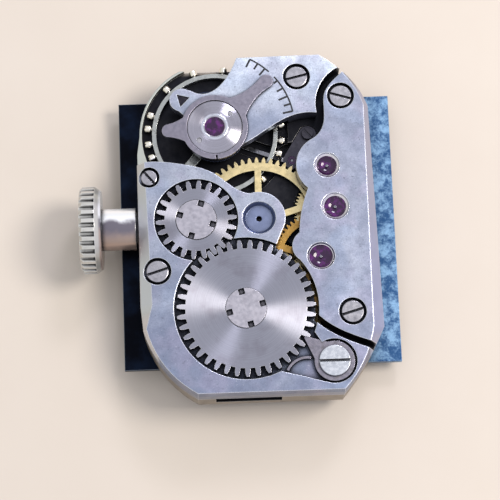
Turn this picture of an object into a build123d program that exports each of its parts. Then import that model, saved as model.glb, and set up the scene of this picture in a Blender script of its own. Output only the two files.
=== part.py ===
from build123d import *
import math
import os

# Rectangular wristwatch movement with cut corners, lying dial down.
# +X points away from the crown, +Y towards twelve on the photographed side, +Z out of the bridges.
# The origin is the tip of the minute hand's post, on the axis of the centre wheel.
# All lengths are millimetres and all angles are degrees.

# Plan of the plate: half widths, ends and cut corners
plate_left = 6.25
plate_right_low = 6.20
plate_right_high = 5.94
plate_top = 8.80
plate_bottom = 9.18
pit_corner_radius = 3.98
pit_corner_low = 3.95
pit_relief = 3.55
relief_end_x = -0.70

# Round corners of the outline, each as start, middle and end
corner_low_right = ((4.05, -plate_bottom), (5.28, -7.55), (plate_right_low, -5.85))
corner_high_right = ((plate_right_high, 5.95), (4.86, 7.74), (3.45, plate_top))
corner_low_left = ((-6.14, -5.70), (-5.47, -7.22), (-3.45, -plate_bottom))
left_edge_end = (-plate_left, -4.40)

# Widths of the bevel at the points of the outline, in the same order as in the outline
bevel_low_right = (0.10, 0.16, 0.56)
bevel_high_right = (0.26, 0.16, 0.08)
bevel_low_left = (0.18, 0.12, 0.10)
bevel_left = 0.62
bevel_high = 0.30

# Heights of the stack, from the post's tip upwards
post_reach = 0.90
dial_thick = 0.35
plate_thick = 1.70
bridge_thick = 1.30
bridge_bevel_drop = 0.42

# Dial blank, held by two feet
dial_side = 14.50
dial_hole = 0.86
foot_radius = 0.22
foot_length = 0.95

# Axes of the wheels, seen from the bridge side
balance_x = -2.13
balance_y = 4.90
barrel_x = -0.84
barrel_y = -4.73
crown_wheel_x = -3.25
escape_x = 3.63
escape_y = 2.69
fourth_x = 3.96
fourth_y = 0.48
third_x = 3.11
third_y = -2.13
pallet_x = 1.88
pallet_y = 3.36

# Tooth counts
barrel_teeth = 64
centre_leaves = 10
centre_teeth = 56
third_leaves = 7
third_teeth = 60
fourth_leaves = 8
fourth_teeth = 70
escape_leaves = 7
escape_teeth = 15
cannon_leaves = 12
minute_teeth = 36
minute_leaves = 10
hour_teeth = 40
setting_teeth = 16
ratchet_teeth = 39
crown_wheel_teeth = 22
winding_leaves = 13
clutch_teeth = 12

# Shares of one tooth: how far tips and roots stand from the pitch circle, in modules, and widths in
# pitches
train_tip_share = 1.05
train_root_share = 1.30
leaf_tip_share = 0.70
leaf_root_share = 1.35
tooth_root_share = 0.31
tooth_pitch_share = 0.235
tooth_tip_share = 0.075
winding_tip_share = 1.05
winding_root_share = 1.50
winding_foot_share = 0.27
winding_waist_share = 0.23
winding_nose_share = 0.12

# Running gaps and fits
running_gap = 0.05
side_gap = 0.10
pivot_gap = 0.015
fit_gap = 0.01
thread_gap = 0.02
seat_gap = 0.03
overrun = 0.50

# Wheel plates and their heights over the top of the plate or under the bridges
wheel_thick = 0.12
fourth_wheel_thick = 0.10
centre_wheel_below_bridge = 0.95
third_wheel_below_bridge = 0.77
fourth_wheel_sink = 0.17
escape_wheel_sink = 0.59
escape_wheel_radius = 1.60
escape_root_radius = 1.25
escape_rim_radius = 1.06
fork_sink = 0.61
fork_thick = 0.12
spoke_half_width = 0.17
spoke_count = 5
spoke_start = 17.0
rim_share = 0.87
hub_share = 0.19
arbor_radius = 0.17
pivot_radius = 0.07
pinion_over_wheel = 0.06

# Centre arbor and motion work
centre_arbor_radius = 0.34
centre_post_radius = 0.19
centre_pivot_radius = 0.13
centre_pinion_low = 0.73
centre_pinion_length = 0.62
minute_seat_radius = 0.28
minute_seat_length = 0.35
cannon_tip = 0.50
cannon_radius = 0.44
cannon_bore_gap = 0.01
hour_seat_radius = 0.62
hour_seat_start = 0.40
hour_pipe_radius = 0.78
hour_shoulder_gap = 0.06
hour_pipe_gap = 0.04
motion_distance = 1.75
motion_angle = 150.0
motion_thick = 0.14
motion_recess = 0.50
minute_post_radius = 0.16
setting_angle = 214.0
setting_wheel_rise = 0.50

# Mainspring barrel
barrel_floor_over_plate_bottom = 0.67
barrel_lift = 0.08
barrel_tooth_thick = 0.35
barrel_drum_height = 1.12
barrel_drum_step = 0.105
barrel_wall = 0.14
barrel_floor = 0.12
barrel_cover_thick = 0.12
barrel_hub_radius = 0.55
barrel_core_radius = 0.85
barrel_pocket_gap = 0.07
mainspring_strip = 0.11
mainspring_half_pitch = 0.125
mainspring_half_turns = 18

# Winding work on the bridge
winding_module = 0.1734
top_wheel_recess = 0.33
top_wheel_lift = 0.03
top_wheel_thick = 0.27
ratchet_recess_radius = 3.70
crown_recess_radius = 2.17
core_radius = 1.04
core_flange_height = 0.05
core_neck_radius = 0.62
core_notch = 0.32
core_notch_depth = 0.16
ratchet_square_half = 0.34
contrate_outer = 1.78
contrate_inner = 1.24
contrate_drop = 0.43
contrate_tooth = 0.13
contrate_well_gap = 0.05

# Stem, crown and keyless work
stem_height = 1.36
stem_radius = 0.33
stem_square_half = 0.21
stem_pilot_radius = 0.17
stem_pilot_start = -3.55
stem_pilot_end = -2.90
stem_groove_start = -5.55
stem_groove_width = 0.26
stem_groove_radius = 0.19
winding_pinion_start = -5.08
winding_pinion_length = 0.66
winding_pinion_radius = 0.886
clutch_length = 0.60
clutch_radius = 0.52
clutch_tooth_radius = 0.66
clutch_tooth_length = 0.14
clutch_groove_radius = 0.38
clutch_groove_width = 0.20
clutch_gap = 0.02
clutch_shift = 0.32
crown_radius = 2.28
crown_rib_length = 0.80
crown_ring_length = 0.31
crown_ring_slope = 0.22
crown_ribs = 30
crown_rib_depth = 0.14
crown_edge = 0.16
crown_neck_radius = 1.10
crown_neck_step = 0.12
crown_neck_gap = 0.04

# Balance, hairspring, escapement
balance_outer = 3.31
balance_rim_width = 0.22
balance_rim_height = 0.33
balance_rim_sink = 0.17
balance_arm_half_width = 0.24
balance_arm_thick = 0.16
balance_cut_half_width = 0.06
balance_cut_angle = 22.0
timing_screw_radius = 0.20
timing_screw_head = 0.34
timing_screw_neck = 0.11
timing_screw_gap = 0.08
timing_angles = (81.0, 107.0, 134.0, 161.0, 173.0, 187.0, 199.0)
balance_axle_radius = 0.14
staff_pivot_radius = 0.05
staff_pivot_length = 0.22
roller_radius = 0.80
roller_thick = 0.08
roller_sink = 0.45
safety_radius = 0.42
safety_thick = 0.10
impulse_distance = 0.62
impulse_radius = 0.08
impulse_length = 0.20
collet_radius = 0.34
collet_height = 0.26
hairspring_height = 0.14
hairspring_over_plate = 0.30
hairspring_strip = 0.05
hairspring_half_pitch = 0.08
hairspring_half_turns = 15
hairspring_last_step = 0.37
pit_radius = 3.86
pit_depth = 0.30
roller_pocket_depth = 0.76

# Pallet fork and its bridge
pallet_hub_radius = 0.26
pallet_arm_half_width = 0.11
fork_tail = 3.66
fork_mouth = 0.13
fork_horn = 0.20
stone_length = 0.42
stone_half_width = 0.07
stone_thick = 0.16
pallet_bridge_thick = 0.20
pallet_bridge_radius = 0.46
pallet_screw_x = 2.75
pallet_screw_y = 4.75
pallet_screw_head = 0.30

# Screws in the bridges
large_head_radius = 0.57
large_counterbore = 0.71
small_head_radius = 0.41
small_counterbore = 0.54
head_depth = 0.34
head_height = 0.30
head_edge = 0.06
slot_half_width = 0.06
slot_depth = 0.12
screw_shank = 0.26
small_shank = 0.18
screw_grip = 0.80
cock_screw_x = 2.25
cock_screw_y = 7.55
train_high_screw_x = 4.51
train_high_screw_y = 6.43
train_low_screw_x = 4.60
train_low_screw_y = -5.09
barrel_large_screw_x = -5.32
barrel_large_screw_y = -2.66
barrel_small_screw_x = -5.62
barrel_small_screw_y = 2.33
slot_angles = (13.0, -17.0, 16.0, 17.0)
small_slot_angle = -50.0

# Click with its screw and spring, placed from the barrel's axis
click_from_barrel = (4.40, -2.89)
click_ring_radius = 1.03
click_bore_radius = 0.40
click_head_radius = 0.80
click_groove_radius = 1.15
click_tip_angle = -28.8
click_bite = 0.04
click_tip_half_width = 0.05
click_nose_setback = 0.16
click_lift = 0.03
click_thick = 0.24
click_spring_strip = 0.12
click_spring_thick = 0.18

# Jewels and the sinks around them
jewel_thick = 0.26
escape_sink_radius = 0.67
escape_jewel_radius = 0.53
fourth_sink_radius = 0.72
fourth_jewel_radius = 0.58
third_sink_radius = 0.72
third_jewel_radius = 0.62
sink_depth = 0.14
jewel_cup_radius_share = 0.62
jewel_cup_depth = 0.08
lower_jewel_radius = 0.42
pallet_jewel_radius = 0.22
pallet_jewel_thick = 0.12
hole_jewel_radius = 0.36
hole_jewel_thick = 0.14
cap_jewel_radius = 0.52
cap_jewel_thick = 0.18
centre_sink_radius = 0.87
centre_sink_floor_radius = 0.70
centre_sink_depth = 0.30

# Balance cock, regulator and end piece
cock_arm_thick = 0.63
cock_disc_radius = 1.62
stud_lobe_x = -3.78
stud_lobe_y = 6.49
stud_radius = 0.18
stud_corner_radius = 0.38
stud_corner_angle = 15.0
regulator_thick = 0.17
regulator_outer = 1.73
regulator_inner = 1.46
regulator_long_angle = 41.0
regulator_long_reach = 4.02
regulator_long_half_width = 0.36
regulator_short_angle = 183.0
regulator_short_reach = 2.76
regulator_short_half_width = 0.34
regulator_root_spread = 32.0
regulator_root_flare = 0.30
regulator_notch_half_width = 0.05
regulator_notch_depth = 0.18
regulator_pin_radius = 0.05
regulator_pin_distance = 1.96
cap_outer = 1.43
cap_chamfer_radius = 0.83
cap_height = 0.22
cap_rise = 0.12
cap_screw_distance = 1.08
cap_screw_angles = (40.0, 220.0)
cap_screw_radius = 0.12
cap_screw_length = 0.30
lower_cap_radius = 0.95
lower_cap_thick = 0.16

# Keyless levers on the dial side
lever_thick = 0.18
setting_lever_x = -5.15
setting_lever_y = 2.39
setting_lever_half_width = 0.30
setting_lever_pin_radius = 0.09
setting_lever_turn = 12.0
yoke_x = -5.25
yoke_y = -2.45
yoke_half_width = 0.26
yoke_tip_radius = 0.08
keyless_screw_radius = 0.22
keyless_head_radius = 0.38
setting_bridge_thick = 0.14
yoke_spring_strip = 0.09

# Screws that hold the dial's feet
dial_screw_radius = 0.20
dial_screw_height = 0.55

# Outline of the cock: left edge, lower edge and the edge beside the train bridge
cock_left = ((-0.84, 8.78), (-1.54, 7.46), (-2.39, 6.81), (-3.32, 6.95))
cock_lobe = ((-3.52, 7.02), (-4.43, 6.62), (-3.98, 5.87))
cock_low = ((-0.75, 3.95), (-0.32, 4.16), (1.10, 5.05), (3.22, 5.55))
cock_right = ((3.22, 5.55), (3.22, 6.40), (3.58, 7.26), (4.60, 8.06))

# Outline of the train bridge: edge beside the cock, three lobes and the lower edge
train_edge_high = ((4.90, 7.95), (4.20, 7.33), (3.68, 6.62), (3.61, 5.60), (2.99, 4.17))
train_lobe_escape = ((2.99, 4.17), (2.04, 2.90), (2.60, 1.50))
train_lobe_fourth = ((2.60, 1.50), (2.21, 0.30), (2.05, -0.87))
train_lobe_third = ((2.05, -0.87), (1.66, -1.72), (2.02, -2.30))
train_low = ((2.86, -5.24), (3.94, -6.02), (5.52, -6.67), (6.70, -7.10))

# Outline of the barrel bridge: upper edge, tongue round the centre and the lower right edge
barrel_high = ((-6.70, 3.00), (-5.53, 3.18), (-3.99, 3.01), (-2.20, 2.41), (-0.94, 1.46), (-0.43, 1.30))
tongue_via = (1.05, 0.88)
tongue_end = (1.15, -0.74)
floor_start = (0.79, -1.58)
floor_via = (2.66, -4.20)
floor_end = (2.62, -5.48)
barrel_low = ((2.62, -5.48), (3.42, -6.11), (4.95, -6.85), (6.70, -7.50))
click_pocket = ((0.20, -8.30), (0.81, -8.07), (1.79, -8.32), (3.07, -8.69))
pocket_inner_high = (2.60, -6.10)
pocket_inner_low = (0.20, -7.50)

# Rooms and small sizes shared by pieces that meet
foot_places = ((5.20, -5.60), (1.10, 6.75))
yoke_spring_foot = (-4.02, -3.05)
yoke_spring_tip = (-4.34, -1.60)
fork_room_half_width = 0.45
stone_room_half_width = 1.00
barrel_window_half = 1.70
barrel_window_depth = 0.50
barrel_pivot_radius = 0.34
barrel_pivot_length = 0.45
barrel_arbor_radius = 0.46
centre_arbor_low_radius = 0.25
escape_hub_room = 0.55
core_shank_radius = 0.36
core_shank_length = 0.40
cock_foot_clear = 3.92
upper_cap_seat = 0.15
keyless_grip = 0.30
yoke_pin_swing = -0.13
setting_bridge_drop = 0.08
minute_wheel_rise = 0.25
hour_wheel_rise = 0.05
minute_pinion_rise = 0.03
keyless_head_drop = 0.01

core_sink = 0.16
crown_notch_angle = 72.0
ratchet_notch_angle = 14.0
contrate_tooth_half = 0.085
clutch_tooth_depth = 0.14
crown_face = -9.30
crown_wall = 0.45
crown_rib_share = 0.36
crown_rib_waist_share = 0.28
crown_rib_nose_share = 0.20
yoke_tip_half_width = 0.13
cannon_over_wheel = 0.16
regulator_notch_angle = 272.0
regulator_pin_spread = 0.17
click_nose_root = 0.55
click_head_height = 0.18
click_spring_from_barrel = ((1.99, -3.29), (2.26, -2.93), (3.20, -2.67))
small_head_height = 0.22
escape_tip_share = 0.10
escape_back_share = 0.42
escape_front_share = 0.02
escape_heel_share = 0.985
escape_spokes = 4
escape_spoke_half_width = 0.09
escape_lock_angle = 12.0
escape_arbor_radius = 0.12
wheel_seat = 0.05
post_top_gap = 0.05
centre_pivot_reach = 0.30
pallet_half_span = 30.0
stone_setback = 0.10
stone_dip = 0.06
balance_arm_angle = 50.0
stud_sink = 0.06

# Levels, worked out from the stack
dial_low = post_reach
plate_low = dial_low + dial_thick
plate_high = plate_low + plate_thick
bridge_high = plate_high + bridge_thick
stem_z = plate_low + stem_height
recess_ceiling = plate_low + motion_recess
top_wheel_floor = bridge_high - top_wheel_recess
top_wheel_low = top_wheel_floor + top_wheel_lift
top_wheel_high = top_wheel_low + top_wheel_thick
centre_wheel_high = bridge_high - centre_wheel_below_bridge
centre_wheel_low = centre_wheel_high - wheel_thick
third_wheel_high = bridge_high - third_wheel_below_bridge
third_wheel_low = third_wheel_high - wheel_thick
fourth_wheel_low = plate_high - fourth_wheel_sink
fourth_wheel_high = fourth_wheel_low + fourth_wheel_thick
escape_wheel_low = plate_high - escape_wheel_sink
escape_wheel_high = escape_wheel_low + wheel_thick
fork_low = plate_high - fork_sink
fork_high = fork_low + fork_thick
barrel_pocket_floor = plate_low + barrel_floor_over_plate_bottom
barrel_low_level = barrel_pocket_floor + barrel_lift
barrel_high_level = barrel_low_level + barrel_tooth_thick + (barrel_drum_height - barrel_tooth_thick)
rim_low = plate_high - balance_rim_sink
rim_high = rim_low + balance_rim_height
roller_low = plate_high - roller_sink
roller_high = roller_low + roller_thick
spring_low = plate_high + hairspring_over_plate
spring_high = spring_low + hairspring_height
cock_low_level = bridge_high - cock_arm_thick
regulator_high = bridge_high + regulator_thick
centre_pivot_high = centre_wheel_high + centre_pivot_reach
cannon_high = plate_low + minute_wheel_rise + cannon_over_wheel

# Places and distances of the meshes
centre = (0, 0)
balance = (balance_x, balance_y)
barrel = (barrel_x, barrel_y)
relief_top = balance_y + pit_relief
crown_wheel_at = (crown_wheel_x, 0)
escape = (escape_x, escape_y)
fourth = (fourth_x, fourth_y)
third = (third_x, third_y)
pallet = (pallet_x, pallet_y)
click_at = (barrel_x + click_from_barrel[0], barrel_y + click_from_barrel[1])


def distance(one, other):
    """Length from one place to another."""
    return math.hypot(other[0] - one[0], other[1] - one[1])


def bearing(one, other):
    """Direction from one place to another, in degrees."""
    return math.degrees(math.atan2(other[1] - one[1], other[0] - one[0]))


def polar(radius, angle, at=(0, 0)):
    """Place at a radius and an angle from another place."""
    turn = math.radians(angle)
    return (at[0] + radius * math.cos(turn), at[1] + radius * math.sin(turn))


def module_of(one, other, teeth, leaves):
    """Size of tooth that makes two wheels meet."""
    return 2 * distance(one, other) / (teeth + leaves)


barrel_module = module_of(centre, barrel, barrel_teeth, centre_leaves)
centre_module = module_of(centre, third, centre_teeth, third_leaves)
third_module = module_of(third, fourth, third_teeth, fourth_leaves)
fourth_module = module_of(fourth, escape, fourth_teeth, escape_leaves)
cannon_module = 2 * motion_distance / (cannon_leaves + minute_teeth)
hour_module = 2 * motion_distance / (minute_leaves + hour_teeth)
minute_at = polar(motion_distance, motion_angle)
setting_distance = cannon_module * (minute_teeth + setting_teeth) / 2
setting_at = polar(setting_distance, setting_angle, minute_at)
ratchet_pitch = winding_module * ratchet_teeth / 2
click_tip_at = polar(ratchet_pitch - click_bite, click_tip_angle, barrel)
barrel_drum_radius = barrel_module * (barrel_teeth / 2 - train_root_share) - barrel_drum_step
os.makedirs("parts", exist_ok=True)


def disc(radius, low, high, at=(0, 0)):
    """Upright cylinder between two levels."""
    return Pos(at[0], at[1], low) * Cylinder(radius, high - low, align=(Align.CENTER, Align.CENTER,
        Align.MIN))


def ring(outer, inner, low, high, at=(0, 0)):
    """Upright tube between two levels."""
    return disc(outer, low, high, at) - disc(inner, low - overrun, high + overrun, at)


def cone(low_radius, high_radius, low, high, at=(0, 0)):
    """Upright cone between two levels."""
    return Pos(at[0], at[1], low) * Cone(
        low_radius, high_radius, high - low, align=(Align.CENTER, Align.CENTER, Align.MIN)
    )


def prism(face, low, high):
    """Flat shape raised between two levels."""
    return extrude(Pos(0, 0, low) * face, amount=high - low, dir=(0, 0, 1))


def rod(radius, start, end, at_y=0, height=None):
    """Cylinder along X at the stem's height."""
    level = stem_z if height is None else height
    turned = Pos(start, at_y, level) * Rot(0, 90, 0)
    return turned * Cylinder(radius, end - start, align=(Align.CENTER, Align.CENTER, Align.MIN))


def slab(half_width, start, end, low, high):
    """Bar between two places, with round ends."""
    length = distance(start, end)
    turn = Pos(start[0], start[1], 0) * Rot(0, 0, bearing(start, end))
    middle = turn * Pos(length / 2, 0, 0) * Rectangle(length, 2 * half_width)
    flat = middle + Pos(*start) * Circle(half_width) + Pos(*end) * Circle(half_width)
    return prism(flat, low, high)


def polygon(points):
    """Closed face with straight edges."""
    return make_face(Polyline(*points, close=True))


def closed(*edges):
    """Face inside a chain of curves."""
    return make_face(Curve() + list(edges))


def toothed(teeth, pitch_radius, tip, root, phase, shares):
    """Face of a toothed wheel, one tooth centred on the phase angle."""
    root_share, pitch_share, tip_share = shares
    step = 360 / teeth
    points = []
    for index in range(teeth):
        middle = phase + index * step
        for radius, share in ((root, root_share), (pitch_radius, pitch_share), (tip, tip_share)):
            points.append(polar(radius, middle - share * step))
        for radius, share in ((tip, tip_share), (pitch_radius, pitch_share), (root, root_share)):
            points.append(polar(radius, middle + share * step))
    return polygon(points)


train_shares = (tooth_root_share, tooth_pitch_share, tooth_tip_share)
winding_shares = (winding_foot_share, winding_waist_share, winding_nose_share)


def wheel_face(teeth, module, phase):
    """Face of a going train wheel."""
    pitch = teeth * module / 2
    return toothed(teeth, pitch, pitch + train_tip_share * module, pitch - train_root_share * module,
                   phase, train_shares)


def pinion_face(leaves, module, phase):
    """Face of a pinion."""
    pitch = leaves * module / 2
    return toothed(leaves, pitch, pitch + leaf_tip_share * module, pitch - leaf_root_share * module,
                   phase, train_shares)


def winding_face(teeth, phase):
    """Face of a deep toothed winding wheel."""
    pitch = teeth * winding_module / 2
    return toothed(teeth, pitch, pitch + winding_tip_share * winding_module,
                   pitch - winding_root_share * winding_module, phase, winding_shares)


def mesh_phase(driver_at, driver_teeth, driver_phase, other_at, other_teeth):
    """Phase that puts a gap of the other wheel on the driver's tooth."""
    line = bearing(driver_at, other_at)
    driver_turn = (line - driver_phase) * driver_teeth / 360
    lag = driver_turn - math.floor(driver_turn)
    return line + 180 + (lag + 0.5) * 360 / other_teeth


def spoke_window(inner, outer, start, end, half_width):
    """Opening between two spokes."""
    def corner(radius, angle, side):
        return polar(radius, angle + side * math.degrees(math.asin(half_width / radius)))
    middle = (start + end) / 2
    low_left, low_right = corner(inner, start, 1), corner(inner, end, -1)
    high_left, high_right = corner(outer, start, 1), corner(outer, end, -1)
    return closed(
        ThreePointArc(low_left, polar(inner, middle), low_right), Line(low_right, high_right),
        ThreePointArc(high_right, polar(outer, middle), high_left), Line(high_left, low_left),
    )


def spoked(face, root_radius, bore, count, first, half_width):
    """Face of a wheel with its spokes cut out."""
    for index in range(count):
        start = first + index * 360 / count
        face -= spoke_window(hub_share * root_radius + half_width, rim_share * root_radius, start,
                             start + 360 / count, half_width)
    return face - Circle(bore)


def save(shape, name):
    """Writes one sub-part."""
    export_step(shape, "parts/" + name + ".step")


def drawn_in(points, widths):
    """Points of a closed outline, each moved inwards by its own width."""
    moved = []
    for index, point in enumerate(points):
        after = points[(index + 1) % len(points)]
        inwards = bearing(points[index - 1], after) + 90
        moved.append(polar(widths[index], inwards, point))
    return moved


def edge_face(points):
    """Face inside the outline: three round corners joined by straight edges."""
    low_left, low_right, high_right = points[:3], points[3:6], points[6:9]
    high_left, left_end = points[9:]
    return closed(
        ThreePointArc(*low_left), Line(low_left[-1], low_right[0]), ThreePointArc(*low_right),
        Line(low_right[-1], high_right[0]), ThreePointArc(*high_right), Line(high_right[-1], high_left),
        Line(high_left, left_end), Line(left_end, low_left[0]),
    )


def bridge_block():
    """Room that the bridges fill together, with its outer bevel."""
    points = corner_low_left + corner_low_right + corner_high_right + ((-plate_left, plate_top),
        left_edge_end)
    widths = bevel_low_left + bevel_low_right + bevel_high_right + (bevel_high, bevel_left)
    shoulder = bridge_high - bridge_bevel_drop
    wide, narrow = edge_face(points), edge_face(drawn_in(points, widths))
    sloped = loft([Pos(0, 0, shoulder) * wide, Pos(0, 0, bridge_high) * narrow], ruled=True)
    return prism(wide, plate_high, shoulder) + sloped


def plate_outline():
    """Outline of the plate, with its round corner and its relieved edge beside the balance."""
    reach = math.sqrt(pit_corner_radius ** 2 - pit_relief ** 2)
    corner = (balance_x - reach, relief_top)
    side = polar(pit_corner_radius, 180, balance)
    middle = polar(pit_corner_radius, (180 + bearing(balance, corner)) / 2, balance)
    return closed(
        ThreePointArc(*corner_low_left), Line(corner_low_left[-1], corner_low_right[0]),
        ThreePointArc(*corner_low_right), Line(corner_low_right[-1], corner_high_right[0]),
        ThreePointArc(*corner_high_right),
        Polyline(corner_high_right[-1], (relief_end_x, plate_top), (relief_end_x, relief_top), corner),
        ThreePointArc(corner, middle, side),
        Polyline(side, (-plate_left, pit_corner_low), left_edge_end, corner_low_left[0]),
    )


def barrel_tip():
    """Radius over the barrel's teeth."""
    return barrel_module * (barrel_teeth / 2 + train_tip_share)


def wheel_tip(module, teeth):
    """Radius over the teeth of a train wheel."""
    return module * (teeth / 2 + train_tip_share)


block = bridge_block()
screw_places = (
    (cock_screw_x, cock_screw_y), (train_high_screw_x, train_high_screw_y),
    (train_low_screw_x, train_low_screw_y), (barrel_large_screw_x, barrel_large_screw_y),
)
small_screw_at = (barrel_small_screw_x, barrel_small_screw_y)
stud_at = (stud_lobe_x, stud_lobe_y)
hairspring_angle = bearing(balance, stud_at)
pallet_screw_at = (pallet_screw_x, pallet_screw_y)
setting_lever_at = (setting_lever_x, setting_lever_y)
yoke_at = (yoke_x, yoke_y)
lever_pin_at = (stem_groove_start + stem_groove_width / 2, 0)
clutch_start = winding_pinion_start + winding_pinion_length + clutch_gap
clutch_end = clutch_start + clutch_length
clutch_groove_x = clutch_start + clutch_length / 3
yoke_pin_at = (clutch_groove_x, 0)
lever_low = plate_low + setting_bridge_drop + setting_bridge_thick + clutch_gap
lever_high = lever_low + lever_thick
keyless_ceiling = lever_high + running_gap
minute_wheel_low = plate_low + minute_wheel_rise
setting_low = minute_wheel_low
setting_high = setting_low + setting_wheel_rise
winding_pinion_tip = winding_pinion_radius + winding_module * leaf_tip_share
escape_floor = escape_wheel_low - running_gap
fork_floor = fork_low - running_gap
fourth_floor = fourth_wheel_low - running_gap
roller_floor = plate_high - roller_pocket_depth
cap_seat = roller_floor - hole_jewel_thick


def winding_space():
    """Room for the stem, the winding pinion and the clutch in plate and bridge."""
    pinion_end = winding_pinion_start + winding_pinion_length + clutch_gap / 2
    room = rod(stem_radius + running_gap, -plate_left - overrun, winding_pinion_start)
    room += rod(winding_pinion_tip + running_gap, winding_pinion_start - running_gap, pinion_end)
    room += rod(clutch_tooth_radius + side_gap, pinion_end, clutch_end + clutch_shift + running_gap)
    room += rod(stem_pilot_radius + pivot_gap, stem_pilot_start - overrun, stem_pilot_end + running_gap)
    return room


winding_room = winding_space()


def bridge_room():
    """Room that the wheels need under the bridges."""
    centre_top = centre_wheel_high + running_gap
    room = disc(wheel_tip(centre_module, centre_teeth) + side_gap, plate_high - overrun, centre_top)
    room += disc(wheel_tip(third_module, third_teeth) + side_gap, plate_high - overrun,
                 third_wheel_high + running_gap, third)
    room += disc(wheel_tip(fourth_module, fourth_teeth) + side_gap, plate_high - overrun,
                 third_wheel_high + running_gap, fourth)
    room += disc(wheel_tip(centre_module, third_leaves) + side_gap, plate_high - overrun, centre_top,
        third)
    room += disc(escape_hub_room, plate_high - overrun, centre_top, escape)
    room += disc(barrel_drum_radius + side_gap, plate_high - overrun, barrel_high_level + side_gap,
        barrel)
    room += disc(pit_radius, plate_high - overrun, rim_high + side_gap, balance)
    return room


wheel_room = bridge_room()


def screw_holes(places, shank, counterbore):
    """Clearance holes with flat counterbores in a bridge."""
    holes = []
    for place in places:
        holes.append(disc(shank + seat_gap, plate_high - overrun, bridge_high + overrun, place))
        holes.append(disc(counterbore, bridge_high - head_depth, bridge_high + overrun, place))
    return holes


def jewel_seat(radius, sink, at, thick):
    """Sink and hole for a jewel pressed in from the top of a bridge."""
    top = bridge_high - sink_depth
    hole = disc(radius + fit_gap, top - thick, bridge_high + overrun, at)
    pivot_room = disc(arbor_radius + side_gap, plate_high, top, at)
    return hole + pivot_room + cone(radius + fit_gap, sink, top, bridge_high, at) + disc(
        sink, bridge_high, bridge_high + overrun, at)


def lever_tip_at(turn):
    """Where the setting lever's tip stands once the lever has turned."""
    reach = distance(setting_lever_at, lever_pin_at)
    return polar(reach, bearing(setting_lever_at, lever_pin_at) - turn, setting_lever_at)


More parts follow.
